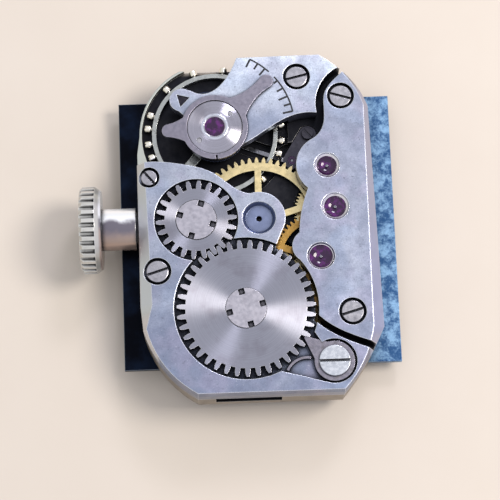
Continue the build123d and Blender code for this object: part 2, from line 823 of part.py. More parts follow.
def main_plate():
    """Plate that carries the bridges, the barrel and the dial."""
    plate = prism(plate_outline(), plate_low, plate_high)
    up = plate_high + overrun
    down = plate_low - overrun
    cuts = [
        disc(pit_radius, plate_high - pit_depth, up, balance),
        disc(roller_radius + side_gap, roller_floor, up, balance),
        slab(fork_room_half_width, balance, pallet, fork_floor, up),
        slab(stone_room_half_width, pallet, escape, fork_floor, up),
        disc(escape_wheel_radius + side_gap, escape_floor, up, escape),
        disc(wheel_tip(fourth_module, fourth_teeth) + running_gap, fourth_floor, up, fourth),
        disc(barrel_tip() + barrel_pocket_gap, barrel_pocket_floor, up, barrel),
        disc(wheel_tip(barrel_module, centre_leaves) + side_gap, barrel_pocket_floor, up),
        slab(pallet_bridge_radius + seat_gap, pallet, pallet_screw_at,
        plate_high - pallet_bridge_thick, up),
        winding_room,
        disc(centre_arbor_low_radius + pivot_gap, down, up),
        disc(wheel_tip(hour_module, hour_teeth) + side_gap, down, recess_ceiling),
        disc(wheel_tip(cannon_module, minute_teeth) + side_gap, down, recess_ceiling, minute_at),
        disc(wheel_tip(cannon_module, setting_teeth) + running_gap, down, setting_high + running_gap,
        setting_at),
        slab(setting_lever_half_width + side_gap, setting_lever_at, yoke_at, down, keyless_ceiling),
        slab(yoke_half_width + side_gap, yoke_at, yoke_pin_at, down, keyless_ceiling),
        slab(yoke_half_width + side_gap, yoke_at, (clutch_groove_x + clutch_shift, 0), down,
        keyless_ceiling),
        slab(yoke_spring_strip + side_gap, yoke_spring_foot, yoke_spring_tip, down, keyless_ceiling),
        slab(setting_lever_pin_radius + running_gap, lever_tip_at(setting_lever_turn), lever_pin_at,
             keyless_ceiling - overrun, stem_z),
        slab(yoke_tip_radius + running_gap, (yoke_pin_at[0] + clutch_shift, yoke_pin_swing), yoke_pin_at,
             keyless_ceiling - overrun, stem_z - clutch_groove_radius),
    ]
    for turn in (setting_lever_turn / 2, setting_lever_turn):
        cuts.append(slab(setting_lever_half_width / 2 + side_gap, setting_lever_at, lever_tip_at(turn),
            down,
                         keyless_ceiling))
    window = Pos(barrel_x, -plate_bottom, barrel_pocket_floor) * Box(
        2 * barrel_window_half, 2 * barrel_window_depth, plate_high, align=(Align.CENTER, Align.CENTER,
        Align.MIN))
    cuts.append(window)
    for place in screw_places:
        cuts.append(disc(screw_shank + thread_gap, plate_high - screw_grip - seat_gap, up, place))
    cuts.append(disc(small_shank + thread_gap, plate_high - screw_grip - seat_gap, up, small_screw_at))
    cuts.append(disc(screw_shank + thread_gap, plate_high - screw_grip - seat_gap, up, click_at))
    cuts.append(disc(small_shank + thread_gap, plate_high - screw_grip - seat_gap, up, pallet_screw_at))
    jewel_cuts = (
        (third, plate_high, jewel_thick, lower_jewel_radius), (fourth, fourth_floor, jewel_thick,
        lower_jewel_radius),
        (escape, escape_floor, jewel_thick, lower_jewel_radius),
        (pallet, fork_floor, pallet_jewel_thick, pallet_jewel_radius),
    )
    for place, top, thick, radius in jewel_cuts:
        cuts.append(disc(radius + fit_gap, top - thick, top + overrun, place))
        cuts.append(disc(pivot_radius + side_gap, top - thick - side_gap, top, place))
    cuts.append(disc(hole_jewel_radius + fit_gap, cap_seat, up, balance))
    cuts.append(disc(cap_jewel_radius + fit_gap, cap_seat - cap_jewel_thick, cap_seat, balance))
    cuts.append(disc(lower_cap_radius + fit_gap, down, cap_seat - cap_jewel_thick, balance))
    cuts.append(disc(barrel_pivot_radius + pivot_gap, barrel_pocket_floor - barrel_pivot_length, up,
        barrel))
    for place in (setting_lever_at, yoke_at):
        cuts.append(disc(keyless_screw_radius + thread_gap, down, lever_high + keyless_grip, place))
    for place in foot_places:
        cuts.append(disc(foot_radius + thread_gap, down, plate_low + foot_length + seat_gap, place))
    cuts += dial_screw_shapes(dial_screw_radius + thread_gap, overrun)
    for cut in cuts:
        plate -= cut
    plate += disc(minute_post_radius, plate_low + fit_gap, recess_ceiling + fit_gap, minute_at)
    plate += disc(minute_post_radius, setting_low - seat_gap, setting_high + running_gap + fit_gap,
        setting_at)
    return plate


def dial_screw_shapes(radius, extra):
    """Two screws lying in the plate's edge, one at each dial foot."""
    level = plate_low + dial_screw_height
    side, top = foot_places
    edge = plate_right_low - seat_gap
    across = rod(radius, side[0] + foot_radius + seat_gap, edge + extra, side[1], level)
    start = top[1] + foot_radius + seat_gap
    along = Pos(top[0], start, level) * Rot(-90, 0, 0) * Cylinder(
        radius, plate_top - seat_gap + extra - start, align=(Align.CENTER, Align.CENTER, Align.MIN))
    return [across, along]


def barrel_bridge():
    """Bridge over the barrel and the crown wheel, with the tongue round the centre."""
    far = plate_left + overrun
    face = closed(
        Spline(*barrel_high), ThreePointArc(barrel_high[-1], tongue_via, tongue_end),
        Line(tongue_end, floor_start), ThreePointArc(floor_start, floor_via, floor_end),
        Spline(*barrel_low),
        Polyline(barrel_low[-1], (far, -plate_bottom - overrun), (-far, -plate_bottom - overrun),
        barrel_high[0]),
    )
    bridge = prism(face, plate_high, bridge_high) & block
    up = bridge_high + overrun
    well_low = top_wheel_low - contrate_drop - contrate_well_gap
    cuts = [
        wheel_room, winding_room,
        disc(ratchet_recess_radius, top_wheel_floor, up, barrel),
        disc(crown_recess_radius, top_wheel_floor, up, crown_wheel_at),
        ring(contrate_outer + contrate_well_gap, contrate_inner - contrate_well_gap, well_low, up,
        crown_wheel_at),
        disc(core_shank_radius + thread_gap, top_wheel_floor - core_shank_length - seat_gap, up,
        crown_wheel_at),
        disc(click_groove_radius, top_wheel_floor, up, click_at),
        prism(polygon(click_pocket + (click_at, pocket_inner_high, pocket_inner_low)), top_wheel_floor,
        up),
        disc(screw_shank + seat_gap, plate_high - overrun, up, click_at),
        disc(barrel_arbor_radius + pivot_gap, plate_high, up, barrel),
        disc(centre_pivot_radius + pivot_gap, plate_high, up),
        cone(centre_sink_floor_radius, centre_sink_radius, bridge_high - centre_sink_depth, bridge_high),
    ]
    cuts += screw_holes(((barrel_large_screw_x, barrel_large_screw_y),), screw_shank, large_counterbore)
    cuts += screw_holes((small_screw_at,), small_shank, small_counterbore)
    for cut in cuts:
        bridge -= cut
    return largest(bridge)


def largest(shape):
    """The largest solid of a cut shape, as one piece."""
    return max(shape.solids(), key=lambda solid: solid.volume)


def train_bridge():
    """Bridge over the third, fourth and escape wheels."""
    high_end = (train_edge_high[0][0], plate_top + overrun)
    low_turn = (bearing(barrel, train_lobe_third[2]) + bearing(barrel, train_low[0])) / 2
    face = closed(
        Spline(*train_edge_high), ThreePointArc(*train_lobe_escape), ThreePointArc(*train_lobe_fourth),
        ThreePointArc(*train_lobe_third),
        ThreePointArc(train_lobe_third[2], polar(distance(barrel, train_low[0]), low_turn, barrel),
        train_low[0]),
        Spline(*train_low),
        Polyline(train_low[-1], (train_low[-1][0], high_end[1]), high_end, train_edge_high[0]),
    )
    bridge = prism(face, plate_high, bridge_high) & block
    cuts = [
        wheel_room,
        jewel_seat(escape_jewel_radius, escape_sink_radius, escape, jewel_thick),
        jewel_seat(fourth_jewel_radius, fourth_sink_radius, fourth, jewel_thick),
        jewel_seat(third_jewel_radius, third_sink_radius, third, jewel_thick),
    ]
    cuts += screw_holes(screw_places[1:3], screw_shank, large_counterbore)
    for cut in cuts:
        bridge -= cut
    return largest(bridge)


def stud_face(gap):
    """Three cornered section of the hairspring's stud."""
    reach = stud_corner_radius + 2 * gap
    return polygon([polar(reach, stud_corner_angle + index * 120, stud_at) for index in range(3)])


def balance_cock():
    """Cock over the balance, with a foot beside the pit and a lobe for the hairspring stud."""
    inner = (cock_lobe[2], (balance_x - cock_disc_radius / 2, balance_y), cock_low[0])
    top = plate_top + overrun
    face = closed(
        Spline(*cock_left), Line(cock_left[-1], cock_lobe[0]), ThreePointArc(*cock_lobe),
        Polyline(*inner),
        Spline(*cock_low), Spline(*cock_right),
        Polyline(cock_right[-1], (cock_right[-1][0], top), (cock_left[0][0], top), cock_left[0]),
    )
    arm = prism(face + Pos(*balance) * Circle(cock_disc_radius), cock_low_level, bridge_high) & block
    foot = (prism(face, plate_high, cock_low_level) & block) - disc(cock_foot_clear, plate_low,
        bridge_high, balance)
    cock = arm + foot
    up = bridge_high + overrun
    hole_top = bridge_high - upper_cap_seat
    cuts = [
        disc(balance_axle_radius + side_gap, plate_high, up, balance),
        disc(hole_jewel_radius + fit_gap, hole_top - hole_jewel_thick, up, balance),
        disc(cap_jewel_radius + seat_gap, hole_top, up, balance),
        prism(stud_face(fit_gap), cock_low_level - overrun, up),
    ]
    for angle in cap_screw_angles:
        place = polar(cap_screw_distance, angle, balance)
        cuts.append(disc(cap_screw_radius / 2 + fit_gap, bridge_high - cap_screw_length, up, place))
    cuts += screw_holes(screw_places[:1], screw_shank, large_counterbore)
    for cut in cuts:
        cock -= cut
    return largest(cock)


def pallet_bridge():
    """Small bridge over the pallet arbor, let into the plate."""
    shape = slab(pallet_bridge_radius, pallet, pallet_screw_at, plate_high - pallet_bridge_thick,
        plate_high)
    shape -= disc(pallet_jewel_radius + fit_gap, plate_high - overrun, plate_high + overrun, pallet)
    return shape - disc(small_shank + thread_gap, plate_high - overrun, plate_high + overrun,
        pallet_screw_at)


def dial():
    """Square dial blank with its two feet."""
    shape = Pos(0, 0, dial_low) * Box(dial_side, dial_side, dial_thick,
                                      align=(Align.CENTER, Align.CENTER, Align.MIN))
    shape -= disc(dial_hole, dial_low - overrun, plate_low + overrun)
    for place in foot_places:
        shape += disc(foot_radius, plate_low, plate_low + foot_length, place)
    return shape


def bridge_screw(radius, shank, slot_angle, at, grip_low, top):
    """Cheese head screw with a slot across its head."""
    head_low = top - head_height
    head = disc(radius, head_low, top, at)
    head = chamfer(head.edges().group_by(Axis.Z)[-1], head_edge)
    slot = Pos(at[0], at[1], top) * Rot(0, 0, slot_angle) * Box(2 * radius + overrun,
        2 * slot_half_width, 2 * slot_depth)
    return head + disc(shank, grip_low, head_low, at) - slot


def bridge_screws():
    """Four screws that hold the cock, the train bridge and the barrel bridge."""
    top = bridge_high - head_depth + head_height
    low = plate_high - screw_grip
    return [bridge_screw(large_head_radius, screw_shank, angle, place, low, top)
            for place, angle in zip(screw_places, slot_angles)]


def jewel(radius, thick, high, at, bore):
    """Ruby bearing with a cup round its hole."""
    stone = disc(radius, high - thick, high, at)
    stone -= cone(bore, jewel_cup_radius_share * radius, high - jewel_cup_depth, high, at)
    return stone - disc(bore, high - thick - overrun, high + overrun, at)


def arbor(low, high, body_low, body_high, leaves, at, radius, pivot, extra=()):
    """Turned arbor with a pivot at each end and the leaves of its pinion."""
    shape = disc(radius, body_low, body_high, at) + disc(pivot, low, high, at)
    face, pinion_low, pinion_high = leaves
    shape += Pos(at[0], at[1], 0) * prism(face, pinion_low, pinion_high)
    for collar_radius, collar_low, collar_high in extra:
        shape += disc(collar_radius, collar_low, collar_high, at)
    return shape


def train_wheel(teeth, module, phase, at, low, thick, bore, count, first):
    """Flat spoked wheel of the going train."""
    face = wheel_face(teeth, module, phase)
    face = spoked(face, module * (teeth / 2 - train_root_share), bore, count, first, spoke_half_width)
    return Pos(at[0], at[1], 0) * prism(face, low, low + thick)


def escape_wheel(phase):
    """Escape wheel with raked teeth and four spokes."""
    step = 360 / escape_teeth
    points = []
    for index in range(escape_teeth):
        tip = phase + index * step
        points.append(polar(escape_root_radius, tip - escape_back_share * step))
        points.append(polar(escape_wheel_radius * escape_heel_share, tip - escape_tip_share * step))
        points.append(polar(escape_wheel_radius, tip + escape_tip_share * step))
        points.append(polar(escape_root_radius, tip + escape_front_share * step))
    face = polygon(points)
    turn = 360 / escape_spokes
    for index in range(escape_spokes):
        face -= spoke_window(pivot_radius + 2 * arbor_radius, escape_rim_radius, index * turn,
                             (index + 1) * turn, escape_spoke_half_width)
    face -= Circle(arbor_radius + fit_gap)
    return Pos(escape_x, escape_y, 0) * prism(face, escape_wheel_low, escape_wheel_high)


def spiral(radii, strip, angle, at, low, high):
    """Flat wound strip made of half turns."""
    def place(index, offset):
        side = 1 if index % 2 == 0 else -1
        return polar(side * (radii[index] + offset), angle)
    edges = []
    sides = []
    for offset in (strip / 2, -strip / 2):
        chain = []
        for index in range(len(radii) - 1):
            start, end = place(index, offset), place(index + 1, offset)
            middle = ((start[0] + end[0]) / 2, (start[1] + end[1]) / 2)
            half = 1 if index % 2 == 0 else -1
            via = polar(half * distance(start, end) / 2, angle + 90, middle)
            chain.append(ThreePointArc(start, via, end))
        sides.append(chain)
        edges += chain
    last = len(radii) - 1
    edges.append(Line(place(0, strip / 2), place(0, -strip / 2)))
    edges.append(Line(place(last, strip / 2), place(last, -strip / 2)))
    return Pos(at[0], at[1], 0) * prism(closed(*edges), low, high)


centre_phase = 90.0
centre_leaf_phase = mesh_phase(barrel, barrel_teeth, 0, centre, centre_leaves)
third_leaf_phase = mesh_phase(centre, centre_teeth, centre_phase, third, third_leaves)
third_phase = 0.0
fourth_leaf_phase = mesh_phase(third, third_teeth, third_phase, fourth, fourth_leaves)
fourth_phase = 0.0
escape_leaf_phase = mesh_phase(fourth, fourth_teeth, fourth_phase, escape, escape_leaves)
escape_phase = bearing(escape, pallet) + escape_lock_angle
cannon_phase = 0.0
minute_phase = mesh_phase(centre, cannon_leaves, cannon_phase, minute_at, minute_teeth)
setting_phase = mesh_phase(minute_at, minute_teeth, minute_phase, setting_at, setting_teeth)
hour_phase = mesh_phase(minute_at, minute_leaves, 0, centre, hour_teeth)
crown_wheel_phase = bearing(crown_wheel_at, barrel)
ratchet_phase = mesh_phase(crown_wheel_at, crown_wheel_teeth, crown_wheel_phase, barrel, ratchet_teeth)


post_low = minute_seat_length + cannon_tip + post_top_gap


def centre_arbor():
    """Centre arbor with its pinion, its wheel seat and the post that the cannon pinion grips."""
    pinion_low = plate_low + centre_pinion_low
    pinion_high = pinion_low + centre_pinion_length
    leaves = (pinion_face(centre_leaves, barrel_module, centre_leaf_phase), pinion_low, pinion_high)
    shape = arbor(post_low, centre_pivot_high, pinion_low, centre_wheel_high + wheel_seat, leaves, centre,
                  centre_arbor_radius, centre_pivot_radius)
    shape += disc(centre_arbor_low_radius, cannon_high + seat_gap, pinion_low)
    return shape + disc(centre_post_radius, post_low, cannon_high + seat_gap)


def third_arbor():
    """Arbor and pinion of the third wheel."""
    jewel_high = bridge_high - sink_depth
    leaves = (pinion_face(third_leaves, centre_module, third_leaf_phase), centre_wheel_low - seat_gap,
              third_wheel_low)
    return arbor(plate_high - jewel_thick + seat_gap, jewel_high - seat_gap, plate_high + seat_gap,
                 jewel_high - jewel_thick - seat_gap, leaves, third, arbor_radius, pivot_radius)


def fourth_arbor():
    """Arbor and pinion of the fourth wheel."""
    jewel_high = bridge_high - sink_depth
    leaves = (pinion_face(fourth_leaves, third_module, fourth_leaf_phase),
        third_wheel_low - pinion_over_wheel,
              third_wheel_high + running_gap / 2)
    return arbor(fourth_floor - jewel_thick + seat_gap, jewel_high - seat_gap, fourth_floor + seat_gap,
                 jewel_high - jewel_thick - seat_gap, leaves, fourth, arbor_radius, pivot_radius)


def escape_arbor():
    """Arbor and pinion of the escape wheel."""
    jewel_high = bridge_high - sink_depth
    leaves = (pinion_face(escape_leaves, fourth_module, escape_leaf_phase),
        fourth_wheel_low - 2 * seat_gap,
              fourth_wheel_high + 2 * seat_gap)
    return arbor(escape_floor - jewel_thick + seat_gap, jewel_high - seat_gap, escape_floor + seat_gap,
                 jewel_high - jewel_thick - seat_gap, leaves, escape, escape_arbor_radius, pivot_radius)


def upper_jewels():
    """Ruby bearings in the train bridge."""
    top = bridge_high - sink_depth
    bore = pivot_radius + pivot_gap
    return [jewel(radius, jewel_thick, top, place, bore) for radius, place in (
        (escape_jewel_radius, escape), (fourth_jewel_radius, fourth), (third_jewel_radius, third))]


def lower_jewels():
    """Ruby bearings in the plate, under the train."""
    bore = pivot_radius + pivot_gap
    return [jewel(lower_jewel_radius, jewel_thick, top, place, bore) for top, place in (
        (escape_floor, escape), (fourth_floor, fourth), (plate_high, third))]


def pallet_jewels():
    """Ruby bearings of the pallet arbor."""
    bore = pivot_radius + pivot_gap
    upper = disc(pallet_jewel_radius, plate_high - pallet_jewel_thick, plate_high, pallet)
    lower = disc(pallet_jewel_radius, fork_floor - pallet_jewel_thick, fork_floor, pallet)
    hole = disc(bore, fork_floor - overrun, plate_high + overrun, pallet)
    return [upper - hole, lower - hole]


def pallet_fork():
    """Lever with two arms for the stones and a notched tail at the balance roller."""
    line = bearing(pallet, balance)
    tail_end = polar(fork_tail - fork_horn, line, pallet)
    shape = slab(pallet_arm_half_width, pallet, tail_end, fork_low, fork_high)
    shape += slab(fork_mouth + fork_horn / 2, polar(fork_tail - 2 * fork_horn, line, pallet), tail_end,
                  fork_low, fork_high)
    shape += disc(pallet_hub_radius, fork_low, fork_high, pallet)
    for place in stone_places():
        shape += slab(pallet_arm_half_width, pallet, polar(distance(pallet, place) - stone_setback,
                      bearing(pallet, place), pallet), fork_low, fork_high)
    mouth_middle = polar(fork_tail, line, pallet)
    mouth = Pos(mouth_middle[0], mouth_middle[1], fork_low) * Rot(0, 0, line) * Box(
        4 * fork_horn, 2 * (impulse_radius + pivot_gap), 2 * fork_thick)
    return shape - mouth - disc(pivot_radius + fit_gap, fork_floor, plate_high, pallet)


def stone_places():
    """Where the two pallet stones meet the escape wheel."""
    line = bearing(escape, pallet)
    return [polar(escape_wheel_radius, line + side * pallet_half_span, escape) for side in (1, -1)]


def pallet_stones():
    """Two ruby pallets at the ends of the fork's arms."""
    stones = []
    for place in stone_places():
        lean = bearing(escape, place)
        middle = polar(stone_length / 2 - stone_dip, lean, place)
        box = Pos(middle[0], middle[1], fork_high + fit_gap) * Rot(0, 0, lean) * Box(
            stone_length, 2 * stone_half_width, stone_thick, align=(Align.CENTER, Align.CENTER,
            Align.MIN))
        stones.append(box)
    return stones


def pallet_arbor():
    """Thin arbor of the pallet fork."""
    shape = disc(pivot_radius, fork_floor - pallet_jewel_thick + seat_gap, plate_high - seat_gap, pallet)
    return shape + disc(arbor_radius, fork_high + fit_gap, plate_high - pallet_bridge_thick - seat_gap,
        pallet)


def balance_wheel():
    """Cut rim with its crossbar and the holes for the timing screws."""
    rim = ring(balance_outer, balance_outer - balance_rim_width, rim_low, rim_high)
    bar_end = balance_outer - balance_rim_width / 2
    bar = Box(2 * bar_end, 2 * balance_arm_half_width, balance_arm_thick, align=(Align.CENTER,
        Align.CENTER, Align.MIN))
    wheel = rim + Pos(0, 0, rim_low) * Rot(0, 0, balance_arm_angle) * bar
    for angle in timing_places():
        wheel -= radial_pin(timing_screw_neck + fit_gap, balance_outer - 2 * balance_rim_width,
            balance_outer + fit_gap,
                            angle)
    for side in (0, 180):
        cut = Pos(*polar(balance_outer, balance_arm_angle + balance_cut_angle + side)) * Rot(
            0, 0, balance_arm_angle + balance_cut_angle + side)
        wheel -= Pos(0, 0, rim_low) * cut * Box(4 * balance_rim_width, 2 * balance_cut_half_width,
            4 * balance_rim_height)
    wheel -= disc(balance_axle_radius + fit_gap, plate_low, bridge_high)
    return Pos(balance_x, balance_y, 0) * wheel


def timing_places():
    """Angles of the timing screws on both halves of the rim."""
    return [angle + side for side in (0, 180) for angle in timing_angles]


def radial_pin(radius, start, end, angle):
    """Cylinder pointing outwards at the rim's height."""
    at = polar(start, angle)
    middle = (rim_low + rim_high) / 2
    return Pos(at[0], at[1], middle) * Rot(0, 0, angle) * Rot(0, 90, 0) * Cylinder(
        radius, end - start, align=(Align.CENTER, Align.CENTER, Align.MIN))


def timing_screws():
    """Fourteen screws round the balance rim."""
    shapes = []
    for angle in timing_places():
        head_start = balance_outer + timing_screw_gap
        pin = radial_pin(timing_screw_neck, balance_outer - balance_rim_width, head_start, angle)
        head = radial_pin(timing_screw_radius, head_start, head_start + timing_screw_head, angle)
        shapes.append(Pos(balance_x, balance_y, 0) * (pin + head))
    return shapes


def balance_staff():
    """Staff of the balance, with a fine pivot at each end."""
    low = cap_seat + seat_gap
    high = bridge_high - upper_cap_seat - seat_gap
    shape = disc(staff_pivot_radius, low, high, balance)
    return shape + disc(balance_axle_radius, low + staff_pivot_length, high - staff_pivot_length, balance)


def roller():
    """Double roller under the balance."""
    shape = disc(roller_radius, roller_low, roller_high, balance)
    shape += disc(safety_radius, roller_low - safety_thick, roller_low, balance)
    notch = polar(impulse_distance, bearing(balance, pallet), balance)
    shape -= disc(impulse_radius + fit_gap, roller_low - overrun, roller_high + overrun, notch)
    shape -= disc(impulse_radius * 2, roller_low - overrun, roller_low, notch)
    return shape - disc(balance_axle_radius + fit_gap, plate_low, bridge_high, balance)


def impulse_jewel():
    """Round ruby pin that the fork drives."""
    place = polar(impulse_distance, bearing(balance, pallet), balance)
    return disc(impulse_radius, roller_high - roller_thick - impulse_length, roller_high, place)


def collet():
    """Split ring that carries the hairspring's inner end."""
    shape = ring(collet_radius, balance_axle_radius + fit_gap, spring_low - seat_gap,
        spring_low + collet_height, balance)
    slot = Pos(balance_x - collet_radius, balance_y, spring_low) * Box(
        collet_radius, 2 * fit_gap + staff_pivot_radius, 4 * collet_height)
    return shape - slot


def hairspring_radii():
    """Radii at each half turn, with the last turn opening to the stud."""
    radii = [collet_radius + hairspring_strip + index * hairspring_half_pitch
             for index in range(hairspring_half_turns + 1)]
    return radii + [radii[-1] + 2 * hairspring_last_step]


def hairspring():
    """Flat blued spiral between the collet and the stud."""
    radii = hairspring_radii()
    start = hairspring_angle + (0 if (len(radii) - 1) % 2 == 0 else 180)
    return spiral(radii, hairspring_strip, start, balance, spring_low, spring_high)


def mainspring():
    """Coiled power spring in the barrel."""
    radii = [barrel_core_radius + mainspring_strip + index * mainspring_half_pitch
             for index in range(mainspring_half_turns + 1)]
    low = barrel_low_level + barrel_floor + running_gap
    high = barrel_high_level - barrel_cover_thick - running_gap
    return spiral(radii, mainspring_strip, 0, barrel, low, high)


def hairspring_stud():
    """Three cornered stud in the cock's lobe, with the spring's outer end under it."""
    shape = disc(stud_radius, spring_low + seat_gap, cock_low_level, stud_at)
    shape += prism(stud_face(0), cock_low_level, bridge_high - stud_sink)
    end = polar(hairspring_radii()[-1] + hairspring_strip, hairspring_angle, balance)
    return shape - slab(hairspring_strip, end, balance, spring_low, spring_high + fit_gap)


def barrel_drum():
    """Toothed drum, open at the top."""
    face = wheel_face(barrel_teeth, barrel_module, 0)
    shape = prism(face, 0, barrel_tooth_thick) + disc(barrel_drum_radius, 0, barrel_drum_height)
    shape -= disc(barrel_drum_radius - barrel_wall, barrel_floor, barrel_drum_height + overrun)
    shape -= disc(barrel_hub_radius + pivot_gap, -overrun, barrel_drum_height)
    return Pos(barrel_x, barrel_y, barrel_low_level) * shape


def barrel_cover():
    """Lid snapped into the drum."""
    low = barrel_high_level - barrel_cover_thick
    return ring(barrel_drum_radius - barrel_wall - fit_gap, barrel_hub_radius + pivot_gap, low,
        barrel_high_level, barrel)


def barrel_arbor():
    """Arbor that the mainspring winds on, with a square for the ratchet wheel."""
    floor_top = barrel_low_level + barrel_floor
    cover_low = barrel_high_level - barrel_cover_thick
    shape = disc(barrel_core_radius, floor_top + seat_gap, cover_low - seat_gap, barrel)
    shape += disc(barrel_hub_radius, barrel_low_level - seat_gap, barrel_high_level + seat_gap, barrel)
    shape += disc(barrel_pivot_radius, barrel_pocket_floor - barrel_pivot_length + seat_gap,
        barrel_low_level, barrel)
    shape += disc(barrel_arbor_radius, barrel_high_level, top_wheel_low, barrel)
    square = Pos(barrel_x, barrel_y, top_wheel_low) * Box(
        2 * ratchet_square_half, 2 * ratchet_square_half, top_wheel_thick - core_sink - fit_gap,
        align=(Align.CENTER, Align.CENTER, Align.MIN))
    shape += square
    return shape - disc(small_shank + thread_gap, barrel_high_level, bridge_high, barrel)


def notches(at, first, radius, high):
    """Four square notches that a key turns a core by."""
    cuts = []
    for index in range(4):
        place = polar(radius - core_notch / 2, first + index * 90, at)
        cuts.append(Pos(place[0], place[1], high - core_notch_depth) * Rot(0, 0,
            first + index * 90) * Box(
            core_notch, core_notch, 2 * core_notch_depth, align=(Align.CENTER, Align.CENTER, Align.MIN)))
    return cuts


def ratchet_wheel():
    """Ratchet wheel on the barrel arbor's square."""
    shape = Pos(barrel_x, barrel_y, 0) * prism(winding_face(ratchet_teeth, ratchet_phase),
        top_wheel_low, top_wheel_high)
    shape -= Pos(barrel_x, barrel_y, top_wheel_low) * Box(
        2 * ratchet_square_half + 2 * fit_gap, 2 * ratchet_square_half + 2 * fit_gap, 2 * top_wheel_thick)
    return shape - disc(core_radius + fit_gap, top_wheel_high - core_sink, bridge_high + overrun, barrel)


def ratchet_core():
    """Notched screw in the middle of the ratchet wheel."""
    low = top_wheel_high - core_sink
    high = top_wheel_high + core_flange_height
    shape = disc(core_radius, low + fit_gap, high, barrel)
    for cut in notches(barrel, ratchet_notch_angle, core_radius, high):
        shape -= cut
    return shape + disc(small_shank, barrel_high_level + seat_gap, low + fit_gap, barrel)


def crown_wheel():
    """Crown wheel with teeth round its edge and a toothed ring below."""
    shape = prism(winding_face(crown_wheel_teeth, crown_wheel_phase), top_wheel_low, top_wheel_high)
    low = top_wheel_low - contrate_drop
    shape += ring(contrate_outer, contrate_inner, low + contrate_tooth, top_wheel_low)
    step = 360 / crown_wheel_teeth
    for index in range(crown_wheel_teeth):
        tooth = Pos((contrate_outer + contrate_inner) / 2, 0, low) * Box(
            contrate_outer - contrate_inner, contrate_tooth_half * 2, contrate_tooth,
            align=(Align.CENTER, Align.CENTER, Align.MIN))
        shape += Rot(0, 0, (index + 1 / 2) * step) * tooth
    shape -= disc(core_neck_radius + running_gap, low, top_wheel_high + overrun)
    shape -= disc(core_radius + running_gap / 2, top_wheel_high - core_sink, top_wheel_high + overrun)
    return Pos(crown_wheel_x, 0, 0) * shape


def crown_wheel_core():
    """Notched core that the crown wheel turns on."""
    low = top_wheel_high - core_sink + fit_gap
    high = top_wheel_high + core_flange_height
    shape = disc(core_radius, low, high, crown_wheel_at)
    for cut in notches(crown_wheel_at, crown_notch_angle, core_radius, high):
        shape -= cut
    shape += disc(core_neck_radius, top_wheel_floor, low, crown_wheel_at)
    return shape + disc(core_shank_radius, top_wheel_floor - core_shank_length, top_wheel_floor,
        crown_wheel_at)


def along_stem(face, start, end):
    """Flat shape turned to face along the stem and raised between two places."""
    return Pos(start, 0, stem_z) * Rot(0, 90, 0) * prism(face, 0, end - start)


def winding_pinion():
    """Pinion on the stem that drives the crown wheel."""
    face = toothed(winding_leaves, winding_pinion_radius, winding_pinion_tip,
                   winding_pinion_radius - winding_module * leaf_root_share, 180, train_shares)
    end = winding_pinion_start + winding_pinion_length
    return along_stem(face - Circle(stem_radius + pivot_gap), winding_pinion_start, end)


def sliding_pinion():
    """Clutch that slides on the stem's square, with a groove for the yoke."""
    face = toothed(clutch_teeth, clutch_tooth_radius - clutch_tooth_depth / 2, clutch_tooth_radius,
                   clutch_tooth_radius - clutch_tooth_depth, 0, train_shares)
    shape = rod(clutch_radius, clutch_start, clutch_end - clutch_tooth_length)
    shape += along_stem(face, clutch_end - clutch_tooth_length, clutch_end)
    groove_start = clutch_groove_x - clutch_groove_width / 2
    groove = rod(clutch_radius + overrun, groove_start, groove_start + clutch_groove_width)
    shape -= groove - rod(clutch_groove_radius, groove_start - overrun,
        groove_start + clutch_groove_width + overrun)
    bore = 2 * (stem_square_half + pivot_gap)
    return shape - Pos(clutch_start, 0, stem_z) * Box(4 * clutch_length, bore, bore)


def winding_stem():
    """Stem with its groove, square and pilot."""
    square_start = winding_pinion_start + winding_pinion_length + clutch_gap / 2
    shape = rod(stem_radius, crown_face + crown_wall, square_start)
    side = 2 * stem_square_half
    square = Box(stem_pilot_start - square_start, side, side, align=(Align.MIN, Align.CENTER,
        Align.CENTER))
    shape += Pos(square_start, 0, stem_z) * square
    shape += rod(stem_pilot_radius, stem_pilot_start, stem_pilot_end)
    groove_end = stem_groove_start + stem_groove_width
    groove = rod(stem_radius + overrun, stem_groove_start, groove_end)
    return shape - (groove - rod(stem_groove_radius, stem_groove_start - overrun, groove_end + overrun))


def along_cone(low_radius, high_radius, start, end):
    """Cone along X at the stem's height."""
    turned = Pos(start, 0, stem_z) * Rot(0, 90, 0)
    return turned * Cone(low_radius, high_radius, end - start, align=(Align.CENTER, Align.CENTER,
        Align.MIN))


def crown():
    """Crown with its ribs, the plain ring behind them and the neck that reaches the plate."""
    rib_end = crown_face + crown_rib_length
    inner = rib_end + crown_ring_length
    root = crown_radius - crown_rib_depth
    face = toothed(crown_ribs, crown_radius - crown_rib_depth / 2, crown_radius, root, 0,
                   (crown_rib_share, crown_rib_waist_share, crown_rib_nose_share))
    body = along_cone(crown_radius - crown_edge, crown_radius, crown_face, crown_face + crown_edge)
    body += rod(crown_radius, crown_face + crown_edge, rib_end)
    shape = along_stem(face, crown_face, rib_end) & body
    shape += along_cone(crown_radius, crown_radius - crown_ring_slope, rib_end, inner)
    neck_end = -plate_left - crown_neck_gap
    shape += rod(crown_neck_radius, inner, neck_end - crown_neck_step)
    shape += rod(crown_neck_radius - crown_neck_step, neck_end - crown_neck_step, neck_end)
    return shape - rod(stem_radius + fit_gap, crown_face + crown_wall - fit_gap, neck_end + overrun)


def setting_lever():
    """Lever that follows the stem's groove."""
    tip = lever_pin_at
    shape = slab(setting_lever_half_width / 2, setting_lever_at, tip, lever_low, lever_high)
    shape += disc(setting_lever_half_width, lever_low, lever_high, setting_lever_at)
    shape += disc(setting_lever_pin_radius, lever_high, stem_z - stem_groove_radius - seat_gap, tip)
    return shape - disc(keyless_screw_radius + pivot_gap, plate_low, plate_high, setting_lever_at)


